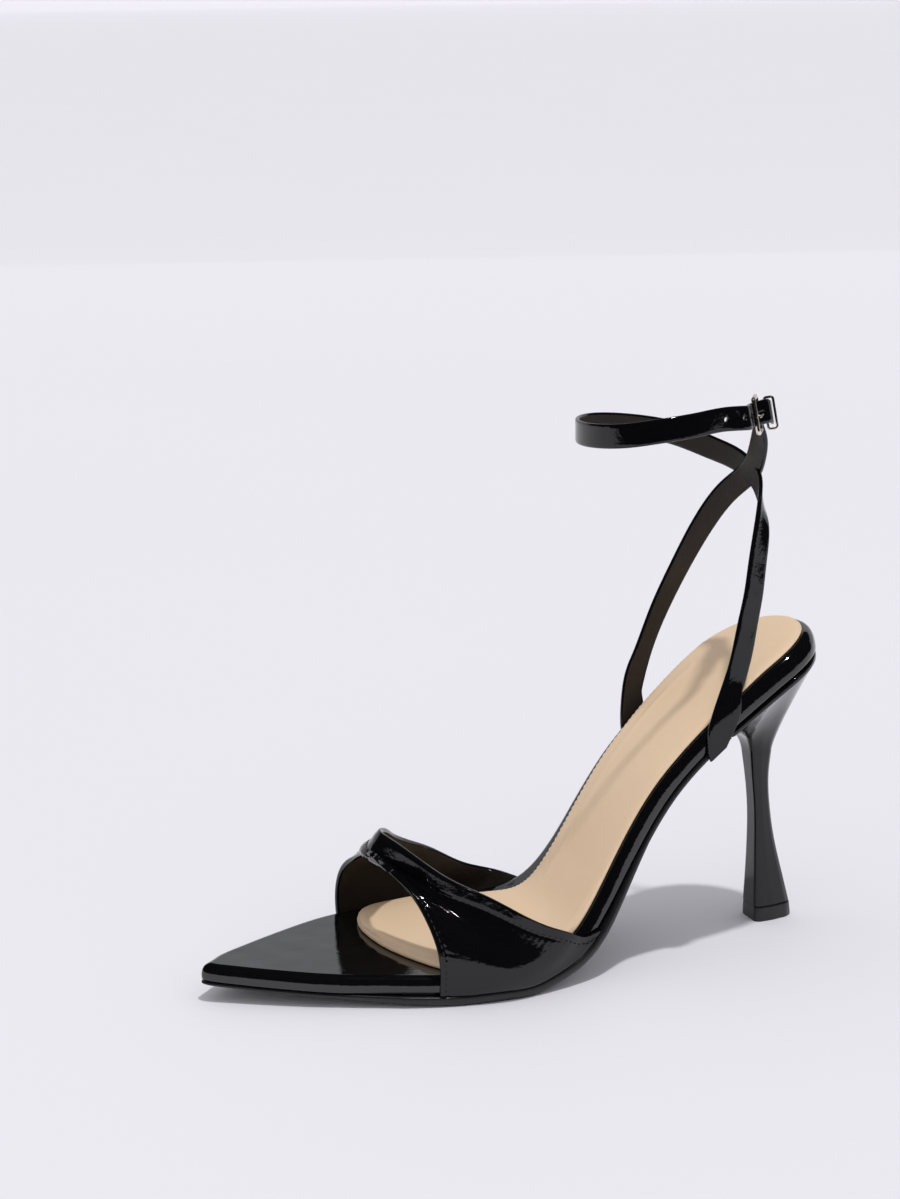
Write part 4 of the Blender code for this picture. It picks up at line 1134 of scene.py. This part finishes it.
def rounded_path(corners, radius, to_place):
    """A closed path through four corners (a, b), with quarter circles of the radius at each."""
    path = []
    for (a, b), start in zip(corners, (0, 90, 180, 270)):
        centre_a = a - math.copysign(radius, math.cos(math.radians(start + 45)))
        centre_b = b - math.copysign(radius, math.sin(math.radians(start + 45)))
        for angle in np.radians(start + np.linspace(0, 90, 9)):
            path.append(to_place(centre_a + radius * math.cos(angle), centre_b + radius * math.sin(angle)))
    return path


def buckle():
    half = BUCKLE_LENGTH / 2
    tall = (BUCKLE_HEIGHT - BUCKLE_ROD) / 2
    corners = ((half, tall), (-half, tall), (-half, -tall), (half, -tall))
    path = rounded_path(corners, 0.7 * BUCKLE_ROD, lambda a, b: at_buckle(a, b, 0))
    return wire("buckle_ring", path, BUCKLE_ROD, BUCKLE_OUT)


def prong():
    """An eye round the frame's back side and a tine that bends up to rest on its front side."""
    half = BUCKLE_LENGTH / 2
    eye_radius = BUCKLE_ROD / 2 + GAP + PRONG_ROD / 2
    turn = np.linspace(0, 2 * math.pi, 33)[:-1]
    eye = [at_buckle(-half + eye_radius * math.cos(a), 0, eye_radius * math.sin(a)) for a in turn]
    ring = wire("prong_eye", eye, PRONG_ROD, BUCKLE_UP)
    marks = [
        at_buckle(-half + eye_radius, 0, 0),
        at_buckle(0.1 * half, 0, 0.2 * eye_radius),
        at_buckle(half - 0.2 * BUCKLE_ROD, 0, eye_radius),
        at_buckle(half + 0.7 * BUCKLE_ROD, 0, eye_radius),
    ]
    taper = np.concatenate([np.ones(20), np.sqrt(1 - np.linspace(0, 0.97, 8) ** 2) * 0.4 + 0.6])
    tine = wire("prong_tine", along(marks, 28), PRONG_ROD, BUCKLE_UP, closed=False, taper=taper)
    return ring, tine


def keeper():
    place = 0.88 * LONG_END[-1][0] * BUCKLE_LENGTH / 2
    clear = STRAP_THICKNESS / 2 + GAP + KEEPER_ROD / 2
    level = LONG_END[-1][2] * BUCKLE_ROD
    inner, outer = level - clear, level + 1.1 * clear
    tail = LONG_END[-1][1] * BUCKLE_LENGTH / 2
    reach = STRAP_WIDTH / 2 + 2 * GAP + KEEPER_ROD / 2
    top, foot = tail + reach + GAP, tail - reach - GAP
    corners = ((top, outer), (foot, outer), (foot, inner), (top, inner))
    path = rounded_path(corners, 0.95 * KEEPER_ROD, lambda a, b: at_buckle(place, a, b))
    return wire("keeper_loop", path, KEEPER_ROD, BUCKLE_FORWARD)


# Studio


def standing(side, over, back, place):
    """The matrix of something that has these three axes and stands at a place."""
    return Matrix([[side[i], over[i], back[i], place[i]] for i in range(3)] + [[0, 0, 0, 1]])


def sweep():
    """Paper on the floor that turns up into a wall behind: a line in front, a quarter circle, a line."""
    towards = np.array(AWAY_FROM_VIEWER)
    sideways = np.array([-towards[1], towards[0]])
    flat = np.linspace(-PAPER_FRONT, PAPER_BACK, 60)
    bend = np.radians(np.linspace(0, 90, 25))[1:]
    wall = np.linspace(PAPER_BEND, PAPER_TOP, 12)[1:]
    reach = np.concatenate([flat, PAPER_BACK + PAPER_BEND * np.sin(bend), 0 * wall + PAPER_BACK + PAPER_BEND])
    height = np.concatenate([0 * flat, PAPER_BEND * (1 - np.cos(bend)), wall])
    width = np.linspace(-PAPER_SIDE, PAPER_SIDE, 30)
    x = reach[:, None] * towards[0] + width * sideways[0]
    y = reach[:, None] * towards[1] + width * sideways[1]
    points = np.stack([x, y, np.broadcast_to(height[:, None], x.shape)], axis=-1)
    index = np.arange(x.size).reshape(x.shape)
    place_mesh("studio_paper", points.reshape(-1, 3), quads(index), ["floor"])


def card(name, finish, distance, top):
    """An upright card across the view that only mirror images see: it paints a reflection into glossy
    surfaces and lights or shades nothing; a distance behind is below 0.
    """
    towards = -np.array(AWAY_FROM_VIEWER)
    sideways = np.array([-towards[1], towards[0]])
    width = max(1.6, abs(distance) * 1.5)
    corners = [towards * distance + side * width * sideways for side in (-1, 1)]
    points = [[*corners[0], 0.0005], [*corners[1], 0.0005], [*corners[1], top], [*corners[0], top]]
    made = place_mesh(name, np.array(points), np.array([[0, 1, 2, 3]]), [finish])
    for ray in ("camera", "diffuse", "shadow", "transmission"):
        setattr(made, "visible_" + ray, False)


def lamp(name, direction, spread, strength, seen=True):
    """An even light from far off: direction points to it and spread is its width in degrees."""
    data = bpy.data.lights.new(name, "SUN")
    data.angle = math.radians(spread)
    data.energy = strength
    made = added(name, data)
    back = unit(np.array(direction, float))
    side = unit(np.cross(UP, back))
    made.matrix_world = standing(side, np.cross(back, side), back, 2.0 * back)
    made.visible_glossy = seen


def studio():
    """Paper, a black card that paints a dark reflection and a glowing card that paints a pale reflection, two
    lights, and a room that is dimmer in mirror images.
    """
    bpy.context.scene.view_settings.view_transform = "Standard"
    sweep()
    # painted dark reflection: a black card in front, seen only in the patent's mirror images
    card("dark_reflection_card", "dark_reflection_card", 0.42, 1.2)
    # painted pale reflection: a glowing card behind, seen only in the patent's mirror images
    card("glowing_reflection_card", "glowing_reflection_card", -2.4, 1.5)
    lamp("key", (0.19, 0.11, 1.0), 3.0, 1.47)
    lamp("front_fill", (0.94, -0.34, 0.15), 20.0, 0.28, seen=False)
    world = bpy.data.worlds.new("studio_room")
    bpy.context.scene.world = world
    world.use_nodes = True
    tree = world.node_tree
    background = tree.nodes["Background"]
    rays = tree.nodes.new("ShaderNodeLightPath")
    amount = tree.nodes.new("ShaderNodeMath")
    amount.operation = "MULTIPLY_ADD"
    amount.inputs[1].default_value = ROOM_SHINE - ROOM_LIGHT
    amount.inputs[2].default_value = ROOM_LIGHT
    tree.links.new(rays.outputs["Is Glossy Ray"], amount.inputs[0])
    tree.links.new(amount.outputs[0], background.inputs["Strength"])
    background.inputs["Color"].default_value = (0.97, 0.97, 1.0, 1)


def camera():
    """The photo's view, found from points of the shoe in the picture."""
    data = bpy.data.cameras.new("photo_view")
    data.sensor_fit = "VERTICAL"
    data.sensor_height = 36.0
    data.lens = 78.66
    data.shift_y = 0.0013
    data.clip_start = 0.02
    data.clip_end = 60
    made = added("photo_view", data)
    right = unit(np.array([0.3453, 0.9384, -0.0170]))
    forward = unit(np.array([-0.9148, 0.3324, -0.2296]))
    over = unit(np.cross(right, forward))
    made.matrix_world = standing(right, over, -forward, (0.81101, -0.29785, 0.33293))
    bpy.context.scene.camera = made


def dress():
    """Makes each fine piece in place of the solid that it stands for."""
    long_piece, short_piece = straps()
    eye, tine = prong()
    stands_for = (
        (board(), "insole_board"),
        (outsole(), "outsole"),
        (sock(), "insole_sock"),
        (heel_cover(), "heel"),
        (heel_lift(), "heel_top_piece"),
        (vamp_upper(), "vamp"),
        (stitches(), "vamp"),
        (long_piece, "ankle_straps"),
        (short_piece, "ankle_straps"),
        (buckle(), "buckle_frame"),
        (eye, "buckle_prong"),
        (tine, "buckle_prong"),
        (keeper(), "strap_keeper"),
    )
    for piece, node in stands_for:
        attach(piece, "root")
        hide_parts(node)
        node == "insole_sock"


camera()
studio()
dress()
